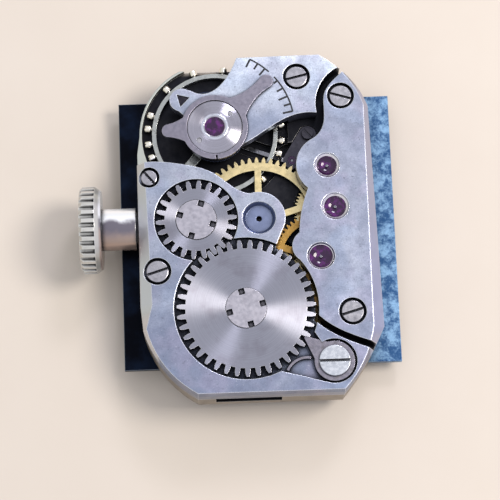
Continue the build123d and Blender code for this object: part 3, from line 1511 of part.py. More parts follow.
def yoke():
    """Lever that moves the clutch."""
    shape = slab(yoke_tip_half_width, yoke_at, yoke_pin_at, lever_low, lever_high)
    shape += disc(yoke_half_width + setting_lever_pin_radius, lever_low, lever_high, yoke_at)
    shape += disc(yoke_tip_radius, lever_high, stem_z - clutch_groove_radius - seat_gap, yoke_pin_at)
    return shape - disc(keyless_screw_radius + pivot_gap, plate_low, plate_high, yoke_at)


def setting_bridge():
    """Cover that keeps the setting lever and the yoke in place."""
    low = plate_low + setting_bridge_drop
    shape = slab(setting_lever_half_width + setting_lever_pin_radius, setting_lever_at, yoke_at, low,
                 low + setting_bridge_thick)
    for place in (setting_lever_at, yoke_at):
        shape -= disc(keyless_screw_radius + thread_gap, plate_low, plate_high, place)
    return shape


def keyless_screws():
    """Two screws under the setting lever and the yoke."""
    shapes = []
    for place in (setting_lever_at, yoke_at):
        low = plate_low + keyless_head_drop
        head = disc(keyless_head_radius, low, plate_low + setting_bridge_drop, place)
        slot = Pos(place[0], place[1], low) * Box(2 * keyless_head_radius + overrun, slot_half_width,
            setting_bridge_drop)
        pin = disc(keyless_screw_radius, plate_low + setting_bridge_drop,
            lever_high + keyless_grip - seat_gap, place)
        shapes.append(head + pin - slot)
    return shapes


def yoke_spring():
    """Leaf spring beside the yoke."""
    return slab(yoke_spring_strip / 2, yoke_spring_foot, yoke_spring_tip, lever_low,
        keyless_ceiling - fit_gap)


def setting_wheel():
    """Wheel between the clutch and the minute wheel."""
    face = wheel_face(setting_teeth, cannon_module,
        setting_phase) - Circle(minute_post_radius + pivot_gap)
    return Pos(setting_at[0], setting_at[1], 0) * prism(face, setting_low, setting_high)


def minute_wheel():
    """Minute wheel with its pinion."""
    face = wheel_face(minute_teeth, cannon_module, minute_phase) - Circle(minute_post_radius + pivot_gap)
    shape = prism(face, minute_wheel_low, minute_wheel_low + motion_thick)
    leaves = pinion_face(minute_leaves, hour_module, 0) - Circle(minute_post_radius + pivot_gap)
    shape += prism(leaves, plate_low + minute_pinion_rise, minute_wheel_low)
    return Pos(minute_at[0], minute_at[1], 0) * shape


def cannon_pinion():
    """Cannon pinion, with a closed tip that the minute hand is pressed on."""
    face = pinion_face(cannon_leaves, cannon_module, cannon_phase)
    shape = disc(minute_seat_radius, 0, minute_seat_length)
    shape += disc(cannon_radius, minute_seat_length, minute_wheel_low)
    shape += prism(face, minute_wheel_low - seat_gap, cannon_high)
    return shape - disc(centre_post_radius + cannon_bore_gap, minute_seat_length + cannon_tip,
                        cannon_high + overrun)


def hour_wheel():
    """Hour wheel, whose pipe has a seat for the hour hand and a shoulder above it."""
    low = plate_low + hour_wheel_rise
    shoulder = dial_low - hour_shoulder_gap
    shape = prism(wheel_face(hour_teeth, hour_module, hour_phase), low, low + motion_thick)
    shape += disc(hour_seat_radius, hour_seat_start, shoulder)
    shape += disc(hour_pipe_radius, shoulder, low)
    return shape - disc(cannon_radius + hour_pipe_gap, -overrun, plate_high)


def regulator_arm(angle, reach, half_width):
    """Face of one arm, with a round tip and a root that spreads into the ring."""
    neck = reach - half_width
    bend = regulator_outer + regulator_root_flare
    sides = []
    for side in (1, -1):
        root = polar(regulator_outer - half_width / 2, side * regulator_root_spread)
        sides.append((root, (bend, side * (half_width + regulator_root_flare / 3)), (neck,
            side * half_width)))
    left, right = sides
    face = closed(ThreePointArc(*left), ThreePointArc(left[-1], (reach, 0), right[-1]),
                  ThreePointArc(*reversed(right)), Line(right[0], left[0]))
    return Pos(*balance) * Rot(0, 0, angle) * face


def regulator():
    """Regulator ring with its pointer, its short arm and the two curb pins."""
    high = regulator_high
    shape = disc(regulator_outer, bridge_high, high, balance)
    for angle, reach, half_width in (
        (regulator_long_angle, regulator_long_reach, regulator_long_half_width),
        (regulator_short_angle, regulator_short_reach, regulator_short_half_width),
    ):
        shape += prism(regulator_arm(angle, reach, half_width), bridge_high, high)
    shape -= disc(regulator_inner, bridge_high - overrun, high + overrun, balance)
    notch = polar(regulator_outer, regulator_notch_angle, balance)
    shape -= slab(regulator_notch_half_width, notch, polar(regulator_outer - regulator_notch_depth,
                  regulator_notch_angle, balance), bridge_high - overrun, high + overrun)
    for side in (-1, 1):
        pin = polar(regulator_pin_distance + side * regulator_pin_spread, regulator_short_angle, balance)
        shape += disc(regulator_pin_radius, spring_high + side_gap, bridge_high, pin)
    return shape


def upper_end_piece():
    """Polished cap that holds the upper end stone."""
    low, shoulder = bridge_high + fit_gap, bridge_high + cap_rise
    shape = disc(cap_outer, low, shoulder, balance)
    shape += cone(cap_outer, cap_chamfer_radius, shoulder, bridge_high + cap_height, balance)
    shape -= disc(cap_jewel_radius + fit_gap, low - overrun, bridge_high + overrun, balance)
    for angle in cap_screw_angles:
        place = polar(cap_screw_distance, angle, balance)
        shape -= disc(cap_screw_radius + fit_gap, shoulder - seat_gap, bridge_high + overrun, place)
        shape -= disc(cap_screw_radius / 2 + fit_gap, low - overrun, bridge_high + overrun, place)
    return shape


def lower_end_piece():
    """Plate that holds the lower end stone, seen from the dial side."""
    high = cap_seat - cap_jewel_thick
    return disc(lower_cap_radius, high - lower_cap_thick, high, balance)


def end_piece_screws():
    """Two tiny screws in the upper cap."""
    shapes = []
    for angle in cap_screw_angles:
        place = polar(cap_screw_distance, angle, balance)
        low, high = bridge_high + cap_rise - seat_gap, bridge_high + cap_rise + seat_gap
        shapes.append(disc(cap_screw_radius, low, high, place) + disc(
            cap_screw_radius / 2, bridge_high - cap_screw_length + seat_gap, low, place))
    return shapes


def balance_jewels():
    """Two pierced rubies and two end stones for the balance staff."""
    upper = bridge_high - upper_cap_seat
    bore = staff_pivot_radius + pivot_gap
    holes = []
    for low in (upper - hole_jewel_thick, cap_seat):
        holes.append(ring(hole_jewel_radius, bore, low, low + hole_jewel_thick, balance))
    caps = [
        disc(cap_jewel_radius, upper + fit_gap, bridge_high + cap_height, balance),
        disc(cap_jewel_radius, cap_seat - cap_jewel_thick, cap_seat, balance),
    ]
    return holes, caps


def click():
    """Pawl with its ring and a nose between the ratchet teeth."""
    low = top_wheel_floor + click_lift
    high = low + click_thick
    side = bearing(click_at, click_tip_at)
    root = polar(click_ring_radius - click_nose_setback, side, click_at)
    wedge = polygon([polar(click_nose_root, side + 90, root), polar(click_tip_half_width, side + 90,
        click_tip_at),
                     polar(click_tip_half_width, side - 90, click_tip_at),
                     polar(click_nose_root, side - 90, root)])
    shape = disc(click_ring_radius, low, high, click_at) + prism(wedge, low, high)
    return shape - disc(click_bore_radius, low - overrun, high + overrun, click_at)


def click_screw():
    """Large screw that the click turns on."""
    low = top_wheel_floor + click_lift + click_thick + fit_gap
    shape = disc(click_head_radius, low, low + click_head_height, click_at)
    shape = chamfer(shape.edges().group_by(Axis.Z)[-1], head_edge)
    shape += disc(click_bore_radius - pivot_gap, top_wheel_floor + fit_gap, low, click_at)
    shape += disc(screw_shank, plate_high - screw_grip, low, click_at)
    return shape - Pos(*click_at, low + click_head_height) * Box(
        2 * click_head_radius + overrun, 2 * slot_half_width, 2 * slot_depth)


def click_spring():
    """Bent leaf that presses the click towards the ratchet wheel."""
    low = top_wheel_floor + fit_gap
    points = [(barrel_x + step[0], barrel_y + step[1]) for step in click_spring_from_barrel]
    leaf = trace(ThreePointArc(*points), click_spring_strip)
    return prism(leaf, low, low + click_spring_thick)


def small_screw(at, angle, low, high, radius, shank):
    """One small cheese head screw."""
    head_low = high - small_head_height
    head = disc(radius, head_low, high, at)
    slot = Pos(at[0], at[1], high) * Rot(0, 0, angle) * Box(2 * radius + overrun, 2 * slot_half_width,
        slot_depth)
    return head + disc(shank, low, head_low, at) - slot


hole_jewels, cap_jewels = balance_jewels()
sub_parts = {
    "main_plate": main_plate(),
    "barrel_bridge": barrel_bridge(),
    "train_bridge": train_bridge(),
    "balance_cock": balance_cock(),
    "pallet_bridge": pallet_bridge(),
    "dial": dial(),
    "dial_screws": dial_screw_shapes(dial_screw_radius, 0),
    "bridge_screws": bridge_screws(),
    "small_bridge_screw": small_screw(small_screw_at, small_slot_angle, plate_high - screw_grip,
                                      bridge_high - head_depth + head_height, small_head_radius,
                                      small_shank),
    "pallet_bridge_screw": small_screw(pallet_screw_at, small_slot_angle, plate_high - screw_grip,
                                       plate_high + small_head_height, pallet_screw_head, small_shank),
    "barrel_drum": barrel_drum(),
    "barrel_cover": barrel_cover(),
    "mainspring": mainspring(),
    "barrel_arbor": barrel_arbor(),
    "ratchet_wheel": ratchet_wheel(),
    "ratchet_core": ratchet_core(),
    "crown_wheel": crown_wheel(),
    "crown_wheel_core": crown_wheel_core(),
    "click": click(),
    "click_screw": click_screw(),
    "click_spring": click_spring(),
    "centre_wheel": train_wheel(centre_teeth, centre_module, centre_phase, centre, centre_wheel_low,
    wheel_thick,
                                centre_arbor_radius + fit_gap, spoke_count, spoke_start),
    "centre_arbor": centre_arbor(),
    "third_wheel": train_wheel(third_teeth, third_module, third_phase, third, third_wheel_low,
    wheel_thick,
                               arbor_radius + fit_gap, spoke_count, spoke_start),
    "third_arbor": third_arbor(),
    "fourth_wheel": train_wheel(fourth_teeth, fourth_module, fourth_phase, fourth, fourth_wheel_low,
                                fourth_wheel_thick, arbor_radius + fit_gap, spoke_count, spoke_start),
    "fourth_arbor": fourth_arbor(),
    "escape_wheel": escape_wheel(escape_phase),
    "escape_arbor": escape_arbor(),
    "upper_train_jewels": upper_jewels(),
    "pivot_jewels": lower_jewels() + pallet_jewels() + hole_jewels,
    "pallet_fork": pallet_fork(),
    "pallet_stones": pallet_stones(),
    "pallet_arbor": pallet_arbor(),
    "balance_wheel": balance_wheel(),
    "timing_screws": timing_screws(),
    "balance_staff": balance_staff(),
    "balance_roller": roller(),
    "impulse_jewel": impulse_jewel(),
    "hairspring_collet": collet(),
    "hairspring": hairspring(),
    "hairspring_stud": hairspring_stud(),
    "regulator": regulator(),
    "upper_end_piece": upper_end_piece(),
    "end_piece_screws": end_piece_screws(),
    "lower_end_piece": lower_end_piece(),
    "balance_end_stones": cap_jewels,
    "cannon_pinion": cannon_pinion(),
    "minute_wheel": minute_wheel(),
    "hour_wheel": hour_wheel(),
    "setting_wheel": setting_wheel(),
    "winding_stem": winding_stem(),
    "crown": crown(),
    "winding_pinion": winding_pinion(),
    "sliding_pinion": sliding_pinion(),
    "setting_lever": setting_lever(),
    "yoke": yoke(),
    "setting_bridge": setting_bridge(),
    "yoke_spring": yoke_spring(),
    "keyless_screws": keyless_screws(),
}
for name, shape in sub_parts.items():
    save(Compound(children=shape) if isinstance(shape, list) else shape, name)
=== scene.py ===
"""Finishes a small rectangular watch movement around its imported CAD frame."""

import math

import bmesh
import bpy
from bpy.props import FloatProperty, PointerProperty, StringProperty
from mathutils import Matrix, Vector


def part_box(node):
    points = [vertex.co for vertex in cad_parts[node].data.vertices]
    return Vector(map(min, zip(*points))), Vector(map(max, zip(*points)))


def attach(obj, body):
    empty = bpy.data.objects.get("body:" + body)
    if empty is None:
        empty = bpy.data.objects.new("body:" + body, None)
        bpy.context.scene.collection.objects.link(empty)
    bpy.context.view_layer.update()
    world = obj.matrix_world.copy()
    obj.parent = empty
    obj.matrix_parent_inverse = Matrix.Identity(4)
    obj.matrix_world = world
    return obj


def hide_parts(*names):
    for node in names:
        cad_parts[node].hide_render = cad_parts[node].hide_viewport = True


bl_info = {
    "name": "Watch Movement Finish",
    "version": (1, 0, 0),
    "blender": (4, 5, 0),
    "location": "View3D > Sidebar > Movement",
    "description": "Plates, polishes and jewels the packed watch movement and sets its stage",
    "category": "Object",
}

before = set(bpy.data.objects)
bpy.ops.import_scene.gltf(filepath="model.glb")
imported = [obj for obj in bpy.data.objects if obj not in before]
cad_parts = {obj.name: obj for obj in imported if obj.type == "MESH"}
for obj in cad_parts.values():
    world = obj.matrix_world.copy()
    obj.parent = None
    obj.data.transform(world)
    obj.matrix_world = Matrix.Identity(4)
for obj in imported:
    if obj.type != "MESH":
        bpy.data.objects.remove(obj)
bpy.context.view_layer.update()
MM = 0.001
FULL_TURN = 2 * math.pi

# Points nearer than this many millimetres are one, and edges that turn more than this angle stay sharp
WELD_REACH = 0.0001
SHARP_ANGLE = math.radians(20)

# Axes of the wheels, in millimetres, as the CAD source places them
BALANCE_AXIS = (-2.13, 4.90)
BARREL_AXIS = (-0.84, -4.73)
CROWN_WHEEL_AXIS = (-3.25, 0.0)
THIRD_AXIS = (3.11, -2.13)
FOURTH_AXIS = (3.96, 0.48)
ESCAPE_AXIS = (3.63, 2.69)

# Other places and sizes of the CAD source, in millimetres
BRIDGE_TOP = 4.25
BEVEL_START = 5.40
CENTRE_SINK_RADIUS = 0.82
PLATE_ROOM_X = 6.05
PLATE_ROOM_Y = 8.30
PIT_RADIUS = 3.86
CROWN_BACK = -8.275

# The floor lies just under the end of the hand posts, in millimetres
FLOOR_HEIGHT = -0.01
FLOOR_HALF_WIDTH = 400

# Width of the camera's sensor, in millimetres
SENSOR_WIDTH = 36

# Name, node, head radius, shank radius, head height, places with slot angles, lighter copy as painted light
# or not
SCREWS = (
    ("bridge_screws_turned", "bridge_screws", 0.57, 0.26, 0.30,
     ((2.25, 7.55, 13), (4.51, 6.43, -17), (4.60, -5.09, 16), (-5.32, -2.66, 17)), False),
    ("small_screw_turned", "small_bridge_screw", 0.41, 0.18, 0.22, ((-5.62, 2.33, -50),), False),
    ("click_screw_turned", "click_screw", 0.80, 0.26, 0.18, ((3.56, -7.62, 0),), True),
)

# Axis, radius and radius of the sink of each upper jewel of the train
TRAIN_JEWELS = ((ESCAPE_AXIS, 0.53, 0.67), (FOURTH_AXIS, 0.58, 0.72), (THIRD_AXIS, 0.62, 0.72))

# Outlines as pairs of radius and height, where a timing screw's heights start at the balance's axis
END_STONE_RING = ((0.54, 4.43), (0.56, 4.45), (0.59, 4.474), (0.64, 4.48), (0.69, 4.474), (0.71, 4.465),
                  (0.71, 4.43), (0.54, 4.43))
TIMING_SCREW = ((0, 3.09), (0.11, 3.09), (0.11, 3.39), (0.16, 3.39), (0.19, 3.41), (0.20, 3.44), (0.20, 3.63),
                (0.19, 3.68), (0.15, 3.715), (0.08, 3.73), (0, 3.73))
TIMING_SLOT_HALF = 0.025
TIMING_SLOT_FLOOR = 3.66

# Bearings of the timing screws on one half of the rim, which the other half repeats
TIMING_ANGLES = (81, 107, 134, 161, 173, 187, 199)

# The scale round the regulator: arcs as start and turn, ticks as angle and inner end
SCALE_ARCS = ((45.2, 16.8), (10.2, 29.6))
SCALE_TICKS = ((61.7, 3.70), (55.3, 3.80), (48.9, 3.70), (36.1, 3.92), (29.2, 3.80), (22.3, 3.66),
               (16.3, 3.80), (10.5, 3.64))

# Height of an arc's line as a share of its width, and height of a tick in millimetres
ARC_FLATNESS = 0.02
TICK_HEIGHT = 0.002


class MovementColours(bpy.types.PropertyGroup):
    """Colours of the finishes and of the painted light and shade, as sRGB hex values."""

    nickel: StringProperty(
        name="Nickel", description="Nickel plating of the train bridge", default="#9BA1B2")
    # Painted light: a lighter copy of the nickel, for the barrel bridge
    nickel_barrel_lit: StringProperty(
        name="Barrel bridge", description="Lighter plating near the crown", default="#B2B8C5")
    # Painted light: the lightest copy of the nickel, for the cock
    nickel_cock_lit: StringProperty(
        name="Cock", description="Brightest plating, on the balance cock", default="#DDE7F3")
    nickel_shade: StringProperty(
        name="Nickel, clouded", description="Duller clouds in the plating", default="#8A92A6")
    # Painted shade: the darker end of the nickel's tone, towards the click
    nickel_painted_shade: StringProperty(
        name="Nickel, dull", description="Plating gone dull towards the click", default="#80889F")
    # Painted reflection: colours of the bevels' sloped faces, one by the crown and one away from it
    slope: StringProperty(
        name="Left slope", description="Worn plating of the bevel by the crown", default="#CCCDD0")
    slope_right: StringProperty(
        name="Right slope", description="Plating of the bevel away from the crown", default="#B4B8CF")
    # Painted shade: the colour drawn deep in corners, gaps and slots
    recess_shade: StringProperty(
        name="Grime", description="Old oil in the recesses", default="#17181D")
    # Painted shade: the near black drawn on the level floors inside the plate
    inside: StringProperty(
        name="Inside", description="Tarnished brass inside the plate", default="#27272B")
    plate_wall: StringProperty(
        name="Plate wall", description="Worn brass at the plate's sides", default="#9A9186")
    steel: StringProperty(
        name="Steel", description="Snailed steel of the winding wheels", default="#9C9DA8")
    screw: StringProperty(
        name="Screw steel", description="Polished screw heads", default="#A8A7AD")
    dark_steel: StringProperty(
        name="Arbor steel", description="Hardened steel of the winding and setting work", default="#5E6067")
    brass: StringProperty(
        name="Gilt brass", description="Pale gilding of the centre wheel", default="#D6C596")
    bronze: StringProperty(
        name="Deep gilt", description="Deeper gilding of the third wheel", default="#B08A4A")
    ruby: StringProperty(
        name="Ruby", description="Synthetic ruby of the bearings", default="#2C0636")
    blued: StringProperty(
        name="Blued steel", description="Spring steel", default="#2C3348")
    dial_dark: StringProperty(
        name="Dial back, dark", description="Tarnished back of the dial", default="#05070F")
    # Partly wear, partly painted reflection: the steel blue of one side of the dial's back
    dial_light: StringProperty(
        name="Dial back, bright", description="Rubbed places of its back", default="#7FA3C4")
    crown: StringProperty(
        name="Crown", description="Worn nickel of the crown", default="#C4C3BE")
    floor: StringProperty(
        name="Floor", description="Pale floor under the movement", default="#C6BCB0")


class MovementSizes(bpy.types.PropertyGroup):
    """Sizes of the small forms made here, in millimetres."""

    slot_half: FloatProperty(
        name="Slot half", description="Half the width of a screw slot", default=0.07, min=0.01)
    slot_depth: FloatProperty(
        name="Slot depth", description="Depth of a screw slot", default=0.13, min=0.01)
    head_bevel: FloatProperty(
        name="Head bevel", description="Bevel of a screw head's rim", default=0.045, min=0.01)
    jewel_bore: FloatProperty(
        name="Jewel bore", description="Radius of a jewel's hole", default=0.08, min=0.01)
    scale_reach: FloatProperty(
        name="Scale reach", description="Radius of the regulator's scale", default=4.17, min=1)
    scale_arc: FloatProperty(
        name="Scale arc", description="Half the diagonal of its arcs' square line", default=0.06, min=0.01)
    scale_tick: FloatProperty(
        name="Scale tick", description="Width of the scale's ticks", default=0.105, min=0.01)


class MovementView(bpy.types.PropertyGroup):
    """The camera's place, which matches the photograph, and the lights."""

    azimuth: FloatProperty(
        name="Azimuth", description="Camera's bearing", default=math.radians(-94.705), subtype="ANGLE")
    elevation: FloatProperty(
        name="Elevation", description="Camera's height above the horizon", default=math.radians(76.89),
        subtype="ANGLE")
    roll: FloatProperty(
        name="Roll", description="Camera's roll", default=math.radians(2.612), subtype="ANGLE")
    distance: FloatProperty(
        name="Distance", description="Camera to bridge tops, in millimetres", default=104.08, min=1)
    aim_x: FloatProperty(
        name="Aim X", description="Point looked at, in millimetres", default=-0.537)
    aim_y: FloatProperty(
        name="Aim Y", description="Point looked at, in millimetres", default=-1.709)
    lens: FloatProperty(
        name="Lens", description="Focal length of the camera", default=145.7, min=10, unit="CAMERA")
    key_power: FloatProperty(
        name="Key lamp", description="Lamp beside the movement", default=0.165, min=0, unit="POWER")
    edge_power: FloatProperty(
        name="Edge lamp", description="Lamp beyond the balance", default=0.055, min=0, unit="POWER")
    sky_strength: FloatProperty(
        name="Sky", description="Strength of the soft studio light", default=1.0, min=0)


def colours():
    return bpy.context.scene.movement_colours


def sizes():
    return bpy.context.scene.movement_sizes


def linear(code):
    """An sRGB hex value as linear red, green, blue and alpha."""
    parts = [int(code[i:i + 2], 16) / 255 for i in (1, 3, 5)]
    return [p / 12.92 if p <= 0.04045 else ((p + 0.055) / 1.055) ** 2.4 for p in parts] + [1.0]


def add(tree, kind, settings=None, inputs=None):
    """Adds a node, sets its properties, and sets or links its inputs."""
    node = tree.nodes.new(kind)
    for name, value in (settings or {}).items():
        setattr(node, name, value)
    for socket, value in (inputs or {}).items():
        if isinstance(value, bpy.types.NodeSocket):
            tree.links.new(value, node.inputs[socket])
        else:
            node.inputs[socket].default_value = value
    return node


def blank(name):
    """A material with an empty node tree."""
    material = bpy.data.materials.new(name)
    material.use_nodes = True
    material.node_tree.nodes.clear()
    return material, material.node_tree


def close(material, tree, shader):
    add(tree, "ShaderNodeOutputMaterial", inputs={"Surface": shader})
    return material


def place(tree):
    return add(tree, "ShaderNodeTexCoord").outputs["Object"]


def noise(tree, size, detail=3.0, vector=None, roughness=0.55):
    """Noise whose patches are about size millimetres wide."""
    inputs = {"Vector": vector or place(tree), "Scale": 1 / (size * MM), "Detail": detail,
              "Roughness": roughness}
    return add(tree, "ShaderNodeTexNoise", inputs=inputs).outputs["Fac"]


def ramp(tree, value, low, high, out_low=0.0, out_high=1.0):
    inputs = {"Value": value, "From Min": low, "From Max": high, "To Min": out_low, "To Max": out_high}
    return add(tree, "ShaderNodeMapRange", {"interpolation_type": "SMOOTHSTEP"}, inputs).outputs["Result"]


def mix(tree, factor, first, second, blend="MIX"):
    node = add(tree, "ShaderNodeMix", {"data_type": "RGBA", "blend_type": blend})
    for socket, value in ((0, factor), (6, first), (7, second)):
        if isinstance(value, bpy.types.NodeSocket):
            tree.links.new(value, node.inputs[socket])
        else:
            node.inputs[socket].default_value = value
    return node.outputs[2]


def rounded(tree, radius):
    """The normal of edges rounded to radius millimetres, and how far it turns from the face."""
    soft = add(tree, "ShaderNodeBevel", {"samples": 6}, {"Radius": radius * MM}).outputs["Normal"]
    flat = add(tree, "ShaderNodeNewGeometry").outputs["Normal"]
    turn = add(tree, "ShaderNodeVectorMath", {"operation": "DOT_PRODUCT"}, {0: soft, 1: flat})
    return soft, ramp(tree, turn.outputs["Value"], 0.995, 0.90)


def upward(tree):
    """1 on level faces, 0 on slopes and walls."""
    normal = add(tree, "ShaderNodeNewGeometry").outputs["Normal"]
    height = add(tree, "ShaderNodeSeparateXYZ", inputs={0: normal}).outputs["Z"]
    return ramp(tree, height, 0.80, 0.97)


def crevices(tree, reach, low=0.45, high=0.88):
    """1 deep in corners and gaps narrower than reach millimetres, 0 in the open: the mask of painted shade.
    """
    near = add(tree, "ShaderNodeAmbientOcclusion", {"samples": 8}, {"Distance": reach * MM}).outputs["AO"]
    return ramp(tree, near, high, low)


def nickel_plated_brass(name, code, shade_tone, shade_from, shade_to):
    """Nickel plated brass, finely stoned and softened by age: satin, bluish grey in faint clouds, darker
    towards one end as painted shade, edges lighter for wear and as painted highlight, painted shade where
    walls meet."""
    material, tree = blank(name)
    hue = colours()
    soft, edge = rounded(tree, 0.07)
    where = add(tree, "ShaderNodeSeparateXYZ", inputs={0: place(tree)}).outputs
    # Painted shade: the plating is drawn darker along Y towards one end
    painted_shade_fall = ramp(tree, where["Y"], shade_from * MM, shade_to * MM)
    tone = mix(tree, painted_shade_fall, linear(code), linear(shade_tone))
    # Clouds, tints and blooms of the plating are one to three millimetres wide
    tinted = mix(tree, ramp(tree, noise(tree, 1.8, 2), 0.46, 0.62, 0.0, 0.30), tone, linear("#B9AEC6"))
    cooled = mix(tree, ramp(tree, noise(tree, 2.3, 2), 0.50, 0.66, 0.0, 0.30), tinted, linear("#9DB0CC"))
    cloudy = ramp(tree, noise(tree, 1.3, 4), 0.36, 0.66, 0.45, 0.0)
    cloud = mix(tree, cloudy, cooled, linear(hue.nickel_shade))
    bloom = mix(tree, ramp(tree, noise(tree, 2.6, 3), 0.48, 0.75, 0.0, 0.30), cloud, linear("#CBD2E0"))
    # Stoning marks of about 0.01 mm are drawn coarser, so that they show
    grain = mix(tree, ramp(tree, noise(tree, 0.07, 3), 0.35, 0.72, 0.0, 0.35), bloom, linear("#6F7486"))
    speck = ramp(tree, noise(tree, 0.13, 2), 0.64, 0.74, 0.0, 0.55)
    stained = mix(tree, speck, grain, linear("#62656F"))
    glints = mix(tree, ramp(tree, noise(tree, 0.09, 2), 0.67, 0.74, 0.0, 0.28), stained, linear("#E3E8F0"))
    # Painted reflection: the sloped faces past BEVEL_START are drawn in their own colour, one for each side
    aside = add(tree, "ShaderNodeMath", {"operation": "ABSOLUTE"}, {0: where["X"]}).outputs[0]
    slope = add(tree, "ShaderNodeMath", {"operation": "SUBTRACT"},
                {0: ramp(tree, aside, (BEVEL_START - 0.1) * MM, (BEVEL_START + 0.1) * MM),
                 1: upward(tree)}).outputs[0]
    slope_sheen = mix(tree, ramp(tree, where["X"], -1 * MM, 1 * MM), linear(hue.slope), linear(hue.slope_right))
    sided = mix(tree, add(tree, "ShaderNodeClamp", inputs={0: slope}).outputs[0], glints, slope_sheen)
    # Wear and painted highlight: every edge is drawn nearly white
    wear_and_sheen = mix(tree, edge, sided, linear("#EEF1F7"))
    spot = add(tree, "ShaderNodeCombineXYZ", inputs={0: where["X"], 1: where["Y"]}).outputs[0]
    reach = add(tree, "ShaderNodeVectorMath", {"operation": "LENGTH"}, {0: spot}).outputs["Value"]
    in_sink = ramp(tree, reach, (CENTRE_SINK_RADIUS + 0.02) * MM, (CENTRE_SINK_RADIUS - 0.02) * MM)
    sink = mix(tree, in_sink, wear_and_sheen, linear("#7A84A1"))
    # Painted shade in corners and gaps
    colour = mix(tree, crevices(tree, 0.9), sink, linear(hue.recess_shade))
    bump = add(tree, "ShaderNodeBump", inputs={"Strength": 0.35, "Distance": 0.004 * MM,
                                               "Height": noise(tree, 0.06, 3), "Normal": soft})
    rough = ramp(tree, noise(tree, 0.5, 3), 0.3, 0.7, 0.28, 0.38)
    shader = add(tree, "ShaderNodeBsdfPrincipled", inputs={
        "Base Color": colour, "Metallic": 1.0, "Roughness": rough, "Normal": bump.outputs[0]})
    return close(material, tree, shader.outputs[0])


def plate_brass_worn_and_shaded(name):
    """Brass of the plate: warm grey where fingers wore its sides, drawn pale on the lip by the balance as
    painted light, and drawn nearly black on the level floors inside as painted shade."""
    material, tree = blank(name)
    hue = colours()
    soft, edge = rounded(tree, 0.04)
    wall = mix(tree, ramp(tree, noise(tree, 0.7, 4), 0.40, 0.68), linear(hue.plate_wall), linear("#8A8176"))
    where = add(tree, "ShaderNodeSeparateXYZ", inputs={0: place(tree)}).outputs
    far = add(tree, "ShaderNodeMath", {"operation": "ABSOLUTE"}, {0: where["X"]}).outputs[0]
    inside = add(tree, "ShaderNodeMath", {"operation": "MULTIPLY"},
                 {0: ramp(tree, far, (PLATE_ROOM_X + 0.1) * MM, (PLATE_ROOM_X - 0.1) * MM),
                  1: ramp(tree, where["Y"], (PLATE_ROOM_Y + 0.1) * MM, (PLATE_ROOM_Y - 0.1) * MM)})
    spot = add(tree, "ShaderNodeCombineXYZ", inputs={0: where["X"], 1: where["Y"]}).outputs[0]
    from_balance = add(tree, "ShaderNodeVectorMath", {"operation": "DISTANCE"}, {
        0: spot, 1: (BALANCE_AXIS[0] * MM, BALANCE_AXIS[1] * MM, 0)}).outputs["Value"]
    # The lip is the level rim between the balance's well and the plate's open corner
    crownward = ramp(tree, where["X"], -0.4 * MM, -0.9 * MM)
    endward = ramp(tree, where["Y"], 2.6 * MM, 3.4 * MM)
    corner = add(tree, "ShaderNodeMath", {"operation": "MULTIPLY"}, {0: crownward, 1: endward})
    past_pit = ramp(tree, from_balance, (PIT_RADIUS - 0.02) * MM, (PIT_RADIUS + 0.01) * MM)
    lip = add(tree, "ShaderNodeMath", {"operation": "MULTIPLY"}, {0: past_pit, 1: corner.outputs[0]})
    open_floor = add(tree, "ShaderNodeMath", {"operation": "SUBTRACT", "use_clamp": True},
                     {0: inside.outputs[0], 1: lip.outputs[0]}).outputs[0]
    floors = add(tree, "ShaderNodeMath", {"operation": "MULTIPLY"},
                 {0: open_floor, 1: upward(tree)}).outputs[0]
    # Painted shade: the level floors inside the plate are drawn nearly black
    deep = mix(tree, ramp(tree, noise(tree, 0.5, 4), 0.35, 0.70), linear(hue.inside), linear("#15161C"))
    tone = mix(tree, floors, wall, deep)
    # Wear and painted highlight: the edges are drawn pale
    wear_and_sheen = mix(tree, edge, tone, linear("#D4D2CF"))
    # Painted light: the lip is drawn pale
    lit = mix(tree, lip.outputs[0], wear_and_sheen, linear("#ACB0A9"))
    # Painted shade in corners and gaps, except on the lip
    shaded_recesses = add(tree, "ShaderNodeMath", {"operation": "SUBTRACT", "use_clamp": True},
               {0: crevices(tree, 1.6, 0.35, 0.80), 1: lip.outputs[0]}).outputs[0]
    colour = mix(tree, shaded_recesses, lit, linear(hue.recess_shade))
    bump = add(tree, "ShaderNodeBump", inputs={"Strength": 0.4, "Distance": 0.006 * MM,
                                               "Height": noise(tree, 0.08, 3), "Normal": soft})
    shader = add(tree, "ShaderNodeBsdfPrincipled", inputs={
        "Base Color": colour, "Metallic": 0.9, "Roughness": 0.42, "Normal": bump.outputs[0]})
    return close(material, tree, shader.outputs[0])


